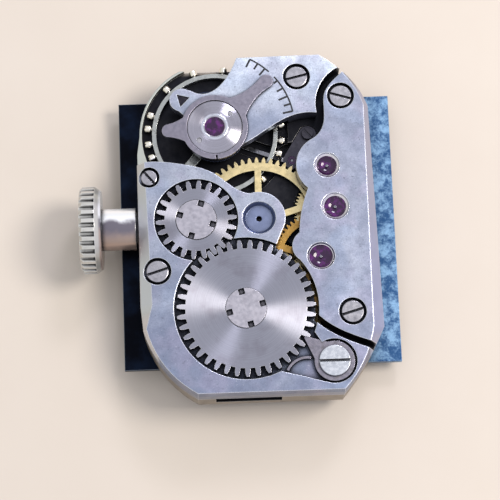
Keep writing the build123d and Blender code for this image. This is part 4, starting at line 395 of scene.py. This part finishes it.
def turned_metal(name, code, axis, roughness=0.29, turned=0.95, radius=0.03):
    """Metal snailed or stoned in circles round an axis: fine rings pull each light into bright sectors."""
    material, tree = blank(name)
    soft, edge = rounded(tree, radius)
    spot = add(tree, "ShaderNodeVectorMath", {"operation": "SUBTRACT"},
               {0: place(tree), 1: (axis[0] * MM, axis[1] * MM, 0)}).outputs[0]
    flat = add(tree, "ShaderNodeVectorMath", {"operation": "MULTIPLY"}, {0: spot, 1: (1, 1, 0)}).outputs[0]
    unit = add(tree, "ShaderNodeVectorMath", {"operation": "NORMALIZE"}, {0: flat}).outputs[0]
    reach = add(tree, "ShaderNodeVectorMath", {"operation": "LENGTH"}, {0: flat}).outputs["Value"]
    # Rings of about 0.01 mm are drawn 0.05 mm wide, so that they show
    rings = add(tree, "ShaderNodeTexNoise", {"noise_dimensions": "1D"},
                {"W": reach, "Scale": 1 / (0.05 * MM), "Detail": 3.0}).outputs["Fac"]
    tone = mix(tree, ramp(tree, rings, 0.35, 0.65, 0.0, 0.22), linear(code), linear("#77767E"))
    tarnish = mix(tree, ramp(tree, noise(tree, 1.1, 5), 0.48, 0.70, 0.0, 0.45), tone, linear("#7E7A84"))
    # Wear and painted highlight: the edges are drawn nearly white
    wear_and_sheen = mix(tree, edge, tarnish, linear("#F2F1F2"))
    # Painted shade in corners, gaps and slots
    colour = mix(tree, crevices(tree, 0.3), wear_and_sheen, linear(colours().recess_shade))
    bump = add(tree, "ShaderNodeBump", inputs={"Strength": 0.15, "Distance": 0.003 * MM, "Height": rings,
                                               "Normal": soft})
    outward = add(tree, "ShaderNodeVectorTransform", {"vector_type": "VECTOR", "convert_from": "OBJECT",
                                                      "convert_to": "WORLD"}, {0: unit}).outputs[0]
    shader = add(tree, "ShaderNodeBsdfPrincipled", inputs={
        "Base Color": colour, "Metallic": 1.0, "Roughness": roughness, "Anisotropic": turned,
        "Tangent": outward, "Normal": bump.outputs[0]})
    return close(material, tree, shader.outputs[0])


def plain_metal(name, code, roughness=0.3, radius=0.02, stain="#6B6660", gap=0.25, open_at=0.80):
    """Metal polished by hand: a clean tone with faint stains, edges drawn lighter for wear and as a painted
    highlight, and painted shade in its gaps.
    """
    material, tree = blank(name)
    soft, edge = rounded(tree, radius)
    stains = ramp(tree, noise(tree, 0.35, 4), 0.50, 0.80, 0.0, 0.6)
    stained = mix(tree, stains, linear(code), linear(stain))
    # Wear and painted highlight: the edges are drawn in a lighter copy of the tone
    lighter = [min(1.0, part * 1.9 + 0.05) for part in linear(code)[:3]] + [1.0]
    wear_and_sheen = mix(tree, edge, stained, lighter)
    # Painted shade in corners, gaps and slots
    colour = mix(tree, crevices(tree, gap, open_at - 0.45, open_at), wear_and_sheen, linear(colours().recess_shade))
    bump = add(tree, "ShaderNodeBump", inputs={"Strength": 0.2, "Distance": 0.003 * MM,
                                               "Height": noise(tree, 0.04, 2), "Normal": soft})
    rough = ramp(tree, noise(tree, 0.2, 3), 0.3, 0.7, roughness - 0.06, roughness + 0.08)
    shader = add(tree, "ShaderNodeBsdfPrincipled", inputs={
        "Base Color": colour, "Metallic": 1.0, "Roughness": rough, "Normal": bump.outputs[0]})
    return close(material, tree, shader.outputs[0])


def crown_nickel_with_painted_neck(name):
    """Nickel of the crown: grey ribs with faint stains, and a neck with a painted highlight and painted
    reflections.
    """
    material, tree = blank(name)
    soft, edge = rounded(tree, 0.04)
    where = add(tree, "ShaderNodeSeparateXYZ", inputs={0: place(tree)}).outputs
    # Painted highlight and reflections on the neck, in bands across Y: white at +Y, dark in the middle, brown
    # at -Y
    wave = ramp(tree, noise(tree, 0.9, 3), 0.3, 0.7, -0.12 * MM, 0.12 * MM)
    wavy = add(tree, "ShaderNodeMath", {"operation": "ADD"}, {0: where["Y"], 1: wave}).outputs[0]
    painted_neck_reflection = mix(tree, ramp(tree, wavy, -0.75 * MM, -0.15 * MM), linear("#A8948A"), linear("#6E6A74"))
    neck = mix(tree, ramp(tree, wavy, 0.02 * MM, 0.35 * MM), painted_neck_reflection, linear("#F6F8FA"))
    stains = ramp(tree, noise(tree, 0.35, 4), 0.50, 0.80, 0.0, 0.5)
    head = mix(tree, stains, linear(colours().crown), linear("#9A9892"))
    on_neck = ramp(tree, where["X"], (CROWN_BACK - 0.075) * MM, (CROWN_BACK + 0.075) * MM)
    tone = mix(tree, on_neck, head, neck)
    # Wear and painted highlight: the edges are drawn nearly white
    wear_and_sheen = mix(tree, edge, tone, linear("#F1F3F2"))
    # Painted shade in corners, gaps and ribs' grooves
    colour = mix(tree, crevices(tree, 0.40, 0.47, 0.92), wear_and_sheen, linear(colours().recess_shade))
    shader = add(tree, "ShaderNodeBsdfPrincipled", inputs={
        "Base Color": colour, "Metallic": 0.6, "Roughness": 0.2, "Normal": soft})
    return close(material, tree, shader.outputs[0])


def synthetic_ruby(name):
    """Synthetic ruby, polished: deep violet red, glassy, with pale veils inside."""
    material, tree = blank(name)
    veil = mix(tree, ramp(tree, noise(tree, 0.3, 3), 0.45, 0.70), linear(colours().ruby), linear("#5A1A68"))
    shader = add(tree, "ShaderNodeBsdfPrincipled", inputs={
        "Base Color": veil, "Roughness": 0.06, "IOR": 1.77, "Specular IOR Level": 0.2,
        "Transmission Weight": 0.2})
    return close(material, tree, shader.outputs[0])


def tarnished_dial_back(name):
    """Back of a dial blank: lacquered metal gone blue black, mottled steel blue on one side, partly by wear
    and partly as a painted reflection.
    """
    material, tree = blank(name)
    hue = colours()
    side = add(tree, "ShaderNodeSeparateXYZ", inputs={0: place(tree)}).outputs["X"]
    # Wear and painted reflection: the back is drawn steel blue on the +X side
    wear_and_sheen = ramp(tree, side, 4.5 * MM, 7.0 * MM)
    patches = ramp(tree, noise(tree, 0.55, 5, roughness=0.75), 0.38, 0.64)
    blue = mix(tree, patches, linear("#2E4F78"), linear(hue.dial_light))
    dark = mix(tree, ramp(tree, noise(tree, 1.6, 4), 0.40, 0.75), linear(hue.dial_dark), linear("#101A2C"))
    colour = mix(tree, wear_and_sheen, dark, blue)
    soft, edge = rounded(tree, 0.05)
    # Wear and painted highlight: the dial's edges are drawn lighter
    edged = mix(tree, edge, colour, linear("#7E8A99"))
    bump = add(tree, "ShaderNodeBump", inputs={"Strength": 0.5, "Distance": 0.02 * MM,
                                               "Height": noise(tree, 0.3, 5), "Normal": soft})
    shader = add(tree, "ShaderNodeBsdfPrincipled", inputs={
        "Base Color": edged, "Metallic": 0.6, "Roughness": 0.34, "Specular IOR Level": 0.08,
        "Normal": bump.outputs[0]})
    return close(material, tree, shader.outputs[0])


def black_filling(name):
    """Black wax and dirt in engraved lines: matt and almost without light."""
    material, tree = blank(name)
    tone = mix(tree, noise(tree, 0.12, 3), linear("#0B0C11"), linear("#1D1F27"))
    shader = add(tree, "ShaderNodeBsdfPrincipled", inputs={"Base Color": tone, "Roughness": 0.7})
    return close(material, tree, shader.outputs[0])


def pale_floor_paint(name):
    """Matt paint, so that only soft shadows show on it."""
    material, tree = blank(name)
    tone = mix(tree, noise(tree, 6.0, 3), linear(colours().floor), linear("#CCC3B8"))
    shader = add(tree, "ShaderNodeBsdfPrincipled", inputs={"Base Color": tone, "Roughness": 0.9})
    return close(material, tree, shader.outputs[0])


def dress(material, *nodes):
    """Gives CAD nodes their finish and keeps their meshes as they are."""
    for node in nodes:
        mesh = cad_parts[node].data
        mesh.materials.clear()
        mesh.materials.append(material)


def turned_solid(profile, steps=48):
    """A solid turned about the Z axis from pairs of radius and height, in millimetres."""
    shape = bmesh.new()
    points = [shape.verts.new((radius * MM, 0, height * MM)) for radius, height in profile]
    lines = [shape.edges.new(pair) for pair in zip(points, points[1:])]
    bmesh.ops.spin(shape, geom=points + lines, cent=(0, 0, 0), axis=(0, 0, 1), angle=FULL_TURN, steps=steps,
                   use_merge=True)
    bmesh.ops.remove_doubles(shape, verts=shape.verts, dist=WELD_REACH * MM)
    bmesh.ops.recalc_face_normals(shape, faces=shape.faces)
    return shape


def cut_off(shape, spot, away):
    """Cuts away the side that away points to and closes the cut."""
    cut = bmesh.ops.bisect_plane(shape, geom=shape.verts[:] + shape.edges[:] + shape.faces[:], plane_co=spot,
                                 plane_no=away, clear_outer=True)
    rim = [item for item in cut["geom_cut"] if isinstance(item, bmesh.types.BMEdge)]
    bmesh.ops.edgeloop_fill(shape, edges=rim)
    bmesh.ops.recalc_face_normals(shape, faces=shape.faces)


def slotted(shape, half_width, floor):
    """The parts of a screw with a straight slot along X: a lower part and the two halves of its head."""
    parts = [shape.copy(), shape.copy(), shape.copy()]
    cut_off(parts[0], (0, 0, floor * MM), (0, 0, 1))
    for part, side in ((parts[1], 1), (parts[2], -1)):
        cut_off(part, (0, 0, floor * MM), (0, 0, -1))
        cut_off(part, (0, side * half_width * MM, 0), (0, -side, 0))
    shape.free()
    return parts


def join(target, shapes, matrix):
    """Moves shapes to their place and adds them to target."""
    for shape in shapes:
        bmesh.ops.transform(shape, matrix=matrix, verts=shape.verts)
        mesh = bpy.data.meshes.new("part")
        shape.to_mesh(mesh)
        shape.free()
        target.from_mesh(mesh)
        bpy.data.meshes.remove(mesh)


def finished(name, shape, material, body, *nodes):
    """Makes the piece's object at the origin, lets it ride on its body and stand for CAD nodes."""
    mesh = bpy.data.meshes.new(name)
    shape.to_mesh(mesh)
    shape.free()
    mesh.shade_smooth()
    mesh.set_sharp_from_angle(angle=SHARP_ANGLE)
    mesh.materials.append(material)
    piece = bpy.data.objects.new(name, mesh)
    bpy.context.collection.objects.link(piece)
    if nodes:
        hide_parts(*nodes)
    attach(piece, body)
    return piece


def screw_shapes(head, shank, low, head_low, top):
    """A cheese head screw with a bevelled rim and a straight slot."""
    rim = sizes().head_bevel
    outline = ((0, low), (shank, low), (shank, head_low), (head, head_low), (head, top - rim),
               (head - rim * 0.3, top - rim * 0.3), (head - rim, top), (0, top))
    return slotted(turned_solid(outline), sizes().slot_half, top - sizes().slot_depth)


def jewel_outline(radius, low, high):
    """A pierced jewel with a rounded rim and an oil cup."""
    bore = sizes().jewel_bore
    outer = ((bore, low), (radius, low), (radius, high - 0.05), (radius - 0.02, high - 0.015),
             (radius - 0.05, high), (radius * 0.90, high))
    cup = ((radius * 0.80, high - 0.05), (radius * 0.64, high - 0.10), (radius * 0.44, high - 0.135),
           (radius * 0.26, high - 0.15), (bore, high - 0.155), (bore, low))
    return outer + cup


def sink_rim_outline(radius, sink, high):
    """The thin burnished rim that lines a jewel's sink, from the jewel up to the bridge's top."""
    return ((radius - 0.01, high + 0.004), (radius + 0.03, high + 0.03), (sink + 0.01, BRIDGE_TOP + 0.004),
            (sink + 0.03, BRIDGE_TOP - 0.01), (radius - 0.01, high - 0.02), (radius - 0.01, high + 0.004))


def turned_about_z(spot, angle):
    return Matrix.Translation((spot[0] * MM, spot[1] * MM, 0)) @ Matrix.Rotation(math.radians(angle), 4, "Z")


class MOVEMENT_OT_bridges(bpy.types.Operator):
    """Finishes the plate, the bridges, the cock and the dial blank"""

    bl_idname = "movement.bridges"
    bl_label = "Plate and bridges"

    def execute(self, context):
        hue = colours()
        dress(nickel_plated_brass("nickel_plated_barrel_bridge_satin", hue.nickel_barrel_lit, hue.nickel_painted_shade,
                                  3.0, -6.5), "barrel_bridge")
        dress(nickel_plated_brass("nickel_plated_train_bridge_satin", hue.nickel, hue.nickel_painted_shade, 0.0, -9.0),
              "train_bridge")
        dress(nickel_plated_brass("nickel_plated_cock_satin", hue.nickel_cock_lit, hue.nickel, 8.0, 5.0),
              "balance_cock")
        dress(plate_brass_worn_and_shaded("brass_plate_worn_and_shaded"), "main_plate", "lower_end_piece")
        # Painted shade: the nickel of the pallet bridge and its screw is drawn dark grey
        dress(plain_metal("nickel_pallet_bridge_shaded", "#403F46", 0.32, 0.02, "#2A2A30"), "pallet_bridge",
              "pallet_bridge_screw")
        dress(tarnished_dial_back("lacquered_dial_metal_tarnished"), "dial")
        return {"FINISHED"}


class MOVEMENT_OT_winding(bpy.types.Operator):
    """Finishes the winding wheels, the click, the crown and the keyless work"""

    bl_idname = "movement.winding"
    bl_label = "Winding work"

    def execute(self, context):
        hue = colours()
        dress(turned_metal("steel_snailed_ratchet", hue.steel, BARREL_AXIS), "ratchet_wheel")
        dress(turned_metal("steel_snailed_crown_wheel", hue.steel, CROWN_WHEEL_AXIS), "crown_wheel")
        dress(plain_metal("steel_stoned_cores", "#A9A7B0", 0.34, stain="#8A8790", gap=0.50, open_at=0.95),
              "ratchet_core", "crown_wheel_core")
        dress(plain_metal("steel_polished_click", "#85828D", 0.28), "click", "click_spring")
        dress(crown_nickel_with_painted_neck("nickel_crown_painted_neck"), "crown")
        dress(plain_metal("steel_hardened", hue.dark_steel, 0.3), "barrel_arbor", "winding_pinion",
              "sliding_pinion", "winding_stem", "setting_lever", "yoke", "setting_bridge", "yoke_spring",
              "setting_wheel", "cannon_pinion", "keyless_screws")
        return {"FINISHED"}


class MOVEMENT_OT_train(bpy.types.Operator):
    """Finishes the barrel, the wheels and their arbors, the pallet fork and the springs"""

    bl_idname = "movement.train"
    bl_label = "Going train"

    def execute(self, context):
        hue = colours()
        dress(plain_metal("brass_gilt_pale", hue.brass, 0.30, 0.02, "#9A8350"), "centre_wheel",
              "fourth_wheel", "minute_wheel", "hour_wheel", "hairspring_collet")
        # Painted shade: the brass of the barrel drum and cover is drawn dark
        dress(plain_metal("brass_barrel_shaded", "#55482F", 0.34, 0.02, "#2E2A22"), "barrel_drum",
              "barrel_cover")
        dress(plain_metal("brass_gilt_deep", hue.bronze, 0.30, 0.02, "#6E4A20"), "third_wheel")
        dress(plain_metal("steel_polished_arbors", "#85868C", 0.2), "centre_arbor", "third_arbor",
              "fourth_arbor", "escape_arbor", "escape_wheel", "pallet_fork", "pallet_arbor", "balance_staff",
              "balance_roller")
        dress(plain_metal("steel_blued_springs", hue.blued, 0.25), "mainspring", "hairspring")
        return {"FINISHED"}


class MOVEMENT_OT_balance(bpy.types.Operator):
    """Finishes the balance, the regulator, the end piece, the small screws and the hidden jewels"""

    bl_idname = "movement.balance"
    bl_label = "Balance and regulator"

    def execute(self, context):
        hue = colours()
        dress(plain_metal("nickel_brass_balance", "#ADB0AC", 0.24), "balance_wheel")
        dress(plain_metal("steel_satin_regulator", "#827F8B", 0.36, 0.05, "#5F6370"), "regulator")
        dress(turned_metal("steel_turned_end_piece", "#A9A7B2", BALANCE_AXIS, 0.24), "upper_end_piece")
        dress(plain_metal("steel_stud", "#2F2E36", 0.3), "hairspring_stud")
        dress(plain_metal("steel_small_screws", hue.screw, 0.3), "dial_screws", "end_piece_screws")
        dress(synthetic_ruby("ruby_synthetic_polished"), "pivot_jewels", "pallet_stones", "impulse_jewel",
              "balance_end_stones")
        return {"FINISHED"}


def soft_lamp(name, azimuth, elevation, distance, size, power, tint):
    """A round area lamp that points at the movement. Angles are in degrees and lengths in millimetres."""
    lamp = bpy.data.lights.new(name, "AREA")
    lamp.shape = "DISK"
    lamp.size = size * MM
    lamp.energy = power
    lamp.color = linear(tint)[:3]
    a, e = math.radians(azimuth), math.radians(elevation)
    way = Vector((math.cos(e) * math.cos(a), math.cos(e) * math.sin(a), math.sin(e)))
    item = bpy.data.objects.new(name, lamp)
    item.location = way * distance * MM
    item.rotation_euler = way.to_track_quat("Z", "Y").to_euler()
    bpy.context.collection.objects.link(item)


def sky(scene):
    """A soft studio: pale overhead, darker towards the horizon."""
    world = bpy.data.worlds.new("soft_studio")
    world.use_nodes = True
    tree = world.node_tree
    tree.nodes.clear()
    way = add(tree, "ShaderNodeTexCoord").outputs["Generated"]
    where = add(tree, "ShaderNodeSeparateXYZ", inputs={0: way}).outputs
    rim = mix(tree, ramp(tree, where["X"], -0.6, 0.6), linear("#D9DCD2"), linear("#DBD9E8"))
    tone = mix(tree, ramp(tree, where["Z"], 0.05, 0.85), rim, linear("#F6F7FF"))
    back = add(tree, "ShaderNodeBackground",
               inputs={"Color": tone, "Strength": scene.movement_view.sky_strength})
    add(tree, "ShaderNodeOutputWorld", inputs={"Surface": back.outputs[0]})
    scene.world = world


def lay_floor(scene):
    """A wide level floor, which belongs to the stage and not to the movement."""
    mesh = bpy.data.meshes.new("floor")
    shape = bmesh.new()
    bmesh.ops.create_grid(shape, x_segments=1, y_segments=1, size=FLOOR_HALF_WIDTH * MM)
    bmesh.ops.translate(shape, verts=shape.verts, vec=(0, 0, FLOOR_HEIGHT * MM))
    shape.to_mesh(mesh)
    shape.free()
    mesh.materials.append(pale_floor_paint("floor_paint_matt"))
    floor = bpy.data.objects.new("floor", mesh)
    scene.collection.objects.link(floor)


def place_camera(scene, view):
    """The camera that sees the movement as the photograph does."""
    a, e = view.azimuth, view.elevation
    back = Vector((math.cos(e) * math.cos(a), math.cos(e) * math.sin(a), math.sin(e)))
    right = Vector((0, 0, 1)).cross(back).normalized()
    right = Matrix.Rotation(view.roll, 3, back) @ right
    up = back.cross(right)
    lens = bpy.data.cameras.new("photo_camera")
    lens.lens = view.lens
    lens.sensor_width = SENSOR_WIDTH
    lens.clip_start = MM
    camera = bpy.data.objects.new("photo_camera", lens)
    spot = Vector((view.aim_x, view.aim_y, BRIDGE_TOP)) * MM + back * view.distance * MM
    camera.matrix_world = Matrix.Translation(spot) @ Matrix((right, up, back)).transposed().to_4x4()
    scene.collection.objects.link(camera)
    scene.camera = camera


class MOVEMENT_OT_screws(bpy.types.Operator):
    """Turns and slots the screws of the bridges and the click"""

    bl_idname = "movement.screws"
    bl_label = "Screws"

    def execute(self, context):
        steel = plain_metal("steel_polished_screws", colours().screw, 0.26, 0.012, "#7D7A7F", 0.35, 0.92)
        # Painted light: the click screw gets a lighter copy of the screw steel
        bright = plain_metal("steel_polished_click_screw", "#C6CAD1", 0.24, 0.012, "#8B8D93", 0.35, 0.92)
        for name, node, head, shank, head_height, places, is_lit_copy in SCREWS:
            shape = bmesh.new()
            low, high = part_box(node)
            for x, y, angle in places:
                parts = screw_shapes(head, shank, low[2] / MM, high[2] / MM - head_height, high[2] / MM)
                join(shape, parts, turned_about_z((x, y), angle))
            finished(name, shape, bright if is_lit_copy else steel, "frame", node)
        return {"FINISHED"}


class MOVEMENT_OT_jewels(bpy.types.Operator):
    """Turns the rubies of the train, the rims of their sinks and the ring round the end stone"""

    bl_idname = "movement.jewels"
    bl_label = "Jewels"

    def execute(self, context):
        ruby = synthetic_ruby("ruby_train_bearings_polished")
        low, high = (corner[2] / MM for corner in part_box("upper_train_jewels"))
        jewels, rims, ring = bmesh.new(), bmesh.new(), bmesh.new()
        for axis, radius, sink in TRAIN_JEWELS:
            join(jewels, [turned_solid(jewel_outline(radius, low, high))], turned_about_z(axis, 0))
            join(rims, [turned_solid(sink_rim_outline(radius, sink, high), 64)], turned_about_z(axis, 0))
        join(ring, [turned_solid(END_STONE_RING, 64)], turned_about_z(BALANCE_AXIS, 0))
        finished("train_jewels", jewels, ruby, "frame", "upper_train_jewels")
        finished("jewel_sinks_burnished", rims, plain_metal("nickel_sinks_burnished", "#E4DFE6", 0.2, 0.01),
                 "frame")
        finished("end_stone_ring", ring, plain_metal("steel_ring_polished", "#CDD0DA", 0.16, 0.01, "#77757F"),
                 "frame")
        return {"FINISHED"}


class MOVEMENT_OT_timing_screws(bpy.types.Operator):
    """Turns the timing screws round the balance's rim"""

    bl_idname = "movement.timing_screws"
    bl_label = "Timing screws"

    def execute(self, context):
        brass = plain_metal("brass_polished_timing_screws", "#F0EBDD", 0.18, 0.01, "#A79A7C")
        low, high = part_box("timing_screws")
        height = (low[2] + high[2]) / 2 / MM
        spot = Matrix.Translation((BALANCE_AXIS[0] * MM, BALANCE_AXIS[1] * MM, height * MM))
        outward = Matrix.Rotation(math.pi / 2, 4, "Y")
        shape = bmesh.new()
        for side in (0, 180):
            for angle in TIMING_ANGLES:
                turn = Matrix.Rotation(math.radians(angle + side), 4, "Z") @ outward
                screw = slotted(turned_solid(TIMING_SCREW, 20), TIMING_SLOT_HALF, TIMING_SLOT_FLOOR)
                join(shape, screw, spot @ turn)
        finished("timing_screws_turned", shape, brass, "balance", "timing_screws")
        return {"FINISHED"}


class MOVEMENT_OT_scale(bpy.types.Operator):
    """Lays the marks of the regulator's plain scale on the cock"""

    bl_idname = "movement.scale"
    bl_label = "Regulator scale"

    def execute(self, context):
        shape = bmesh.new()
        size = sizes()
        on_cock = Matrix.Translation((0, 0, BRIDGE_TOP * MM))
        for start, turn in SCALE_ARCS:
            line = bmesh.new()
            bmesh.ops.create_circle(line, cap_ends=False, segments=4, radius=size.scale_arc * MM)
            upright = Matrix.Rotation(math.pi / 2, 4, "X") @ Matrix.Rotation(math.pi / 4, 4, "Z")
            bmesh.ops.transform(line, matrix=upright, verts=line.verts)
            bmesh.ops.scale(line, vec=(1, 1, ARC_FLATNESS), verts=line.verts)
            bmesh.ops.translate(line, vec=(size.scale_reach * MM, 0, 0), verts=line.verts)
            bmesh.ops.spin(line, geom=line.verts[:] + line.edges[:], cent=(0, 0, 0), axis=(0, 0, 1),
                           angle=math.radians(turn), steps=24)
            bmesh.ops.holes_fill(line, edges=[edge for edge in line.edges if edge.is_boundary])
            bmesh.ops.recalc_face_normals(line, faces=line.faces)
            join(shape, [line], on_cock @ turned_about_z(BALANCE_AXIS, start))
        for angle, inner in SCALE_TICKS:
            tick = bmesh.new()
            bmesh.ops.create_cube(tick, size=MM)
            bmesh.ops.scale(tick, vec=(size.scale_reach - inner, size.scale_tick, TICK_HEIGHT),
                            verts=tick.verts)
            bmesh.ops.translate(tick, vec=((size.scale_reach + inner) / 2 * MM, 0, 0), verts=tick.verts)
            join(shape, [tick], on_cock @ turned_about_z(BALANCE_AXIS, angle))
        finished("regulator_scale", shape, black_filling("wax_black_in_engraved_lines"), "frame")
        return {"FINISHED"}


class MOVEMENT_OT_stage(bpy.types.Operator):
    """Lays the pale floor and sets the lamps and the camera"""

    bl_idname = "movement.stage"
    bl_label = "Stage"

    def execute(self, context):
        scene = context.scene
        view = scene.movement_view
        lay_floor(scene)
        soft_lamp("key_lamp", azimuth=4, elevation=58, distance=160, size=58, power=view.key_power,
                  tint="#FFF8F0")
        soft_lamp("edge_lamp", azimuth=68, elevation=47, distance=160, size=36, power=view.edge_power,
                  tint="#F4F2FF")
        sky(scene)
        scene.view_settings.view_transform = "Standard"
        place_camera(scene, view)
        return {"FINISHED"}


class MOVEMENT_PT_finish(bpy.types.Panel):
    """Lists the steps that finish the movement"""

    bl_label = "Watch movement"
    bl_space_type = "VIEW_3D"
    bl_region_type = "UI"
    bl_category = "Movement"

    def draw(self, context):
        for step in STEPS:
            self.layout.operator(step.bl_idname)


STEPS = (MOVEMENT_OT_bridges, MOVEMENT_OT_winding, MOVEMENT_OT_train, MOVEMENT_OT_balance, MOVEMENT_OT_screws,
         MOVEMENT_OT_jewels, MOVEMENT_OT_timing_screws, MOVEMENT_OT_scale, MOVEMENT_OT_stage)
CLASSES = (MovementColours, MovementSizes, MovementView) + STEPS + (MOVEMENT_PT_finish,)


def register():
    for kind in CLASSES:
        bpy.utils.register_class(kind)
    bpy.types.Scene.movement_colours = PointerProperty(type=MovementColours)
    bpy.types.Scene.movement_sizes = PointerProperty(type=MovementSizes)
    bpy.types.Scene.movement_view = PointerProperty(type=MovementView)


def unregister():
    del bpy.types.Scene.movement_colours
    del bpy.types.Scene.movement_sizes
    del bpy.types.Scene.movement_view
    for kind in reversed(CLASSES):
        bpy.utils.unregister_class(kind)


def main():
    register()
    for step in STEPS:
        group, name = step.bl_idname.split(".")
        getattr(getattr(bpy.ops, group), name)()


if __name__ == "__main__":
    main()
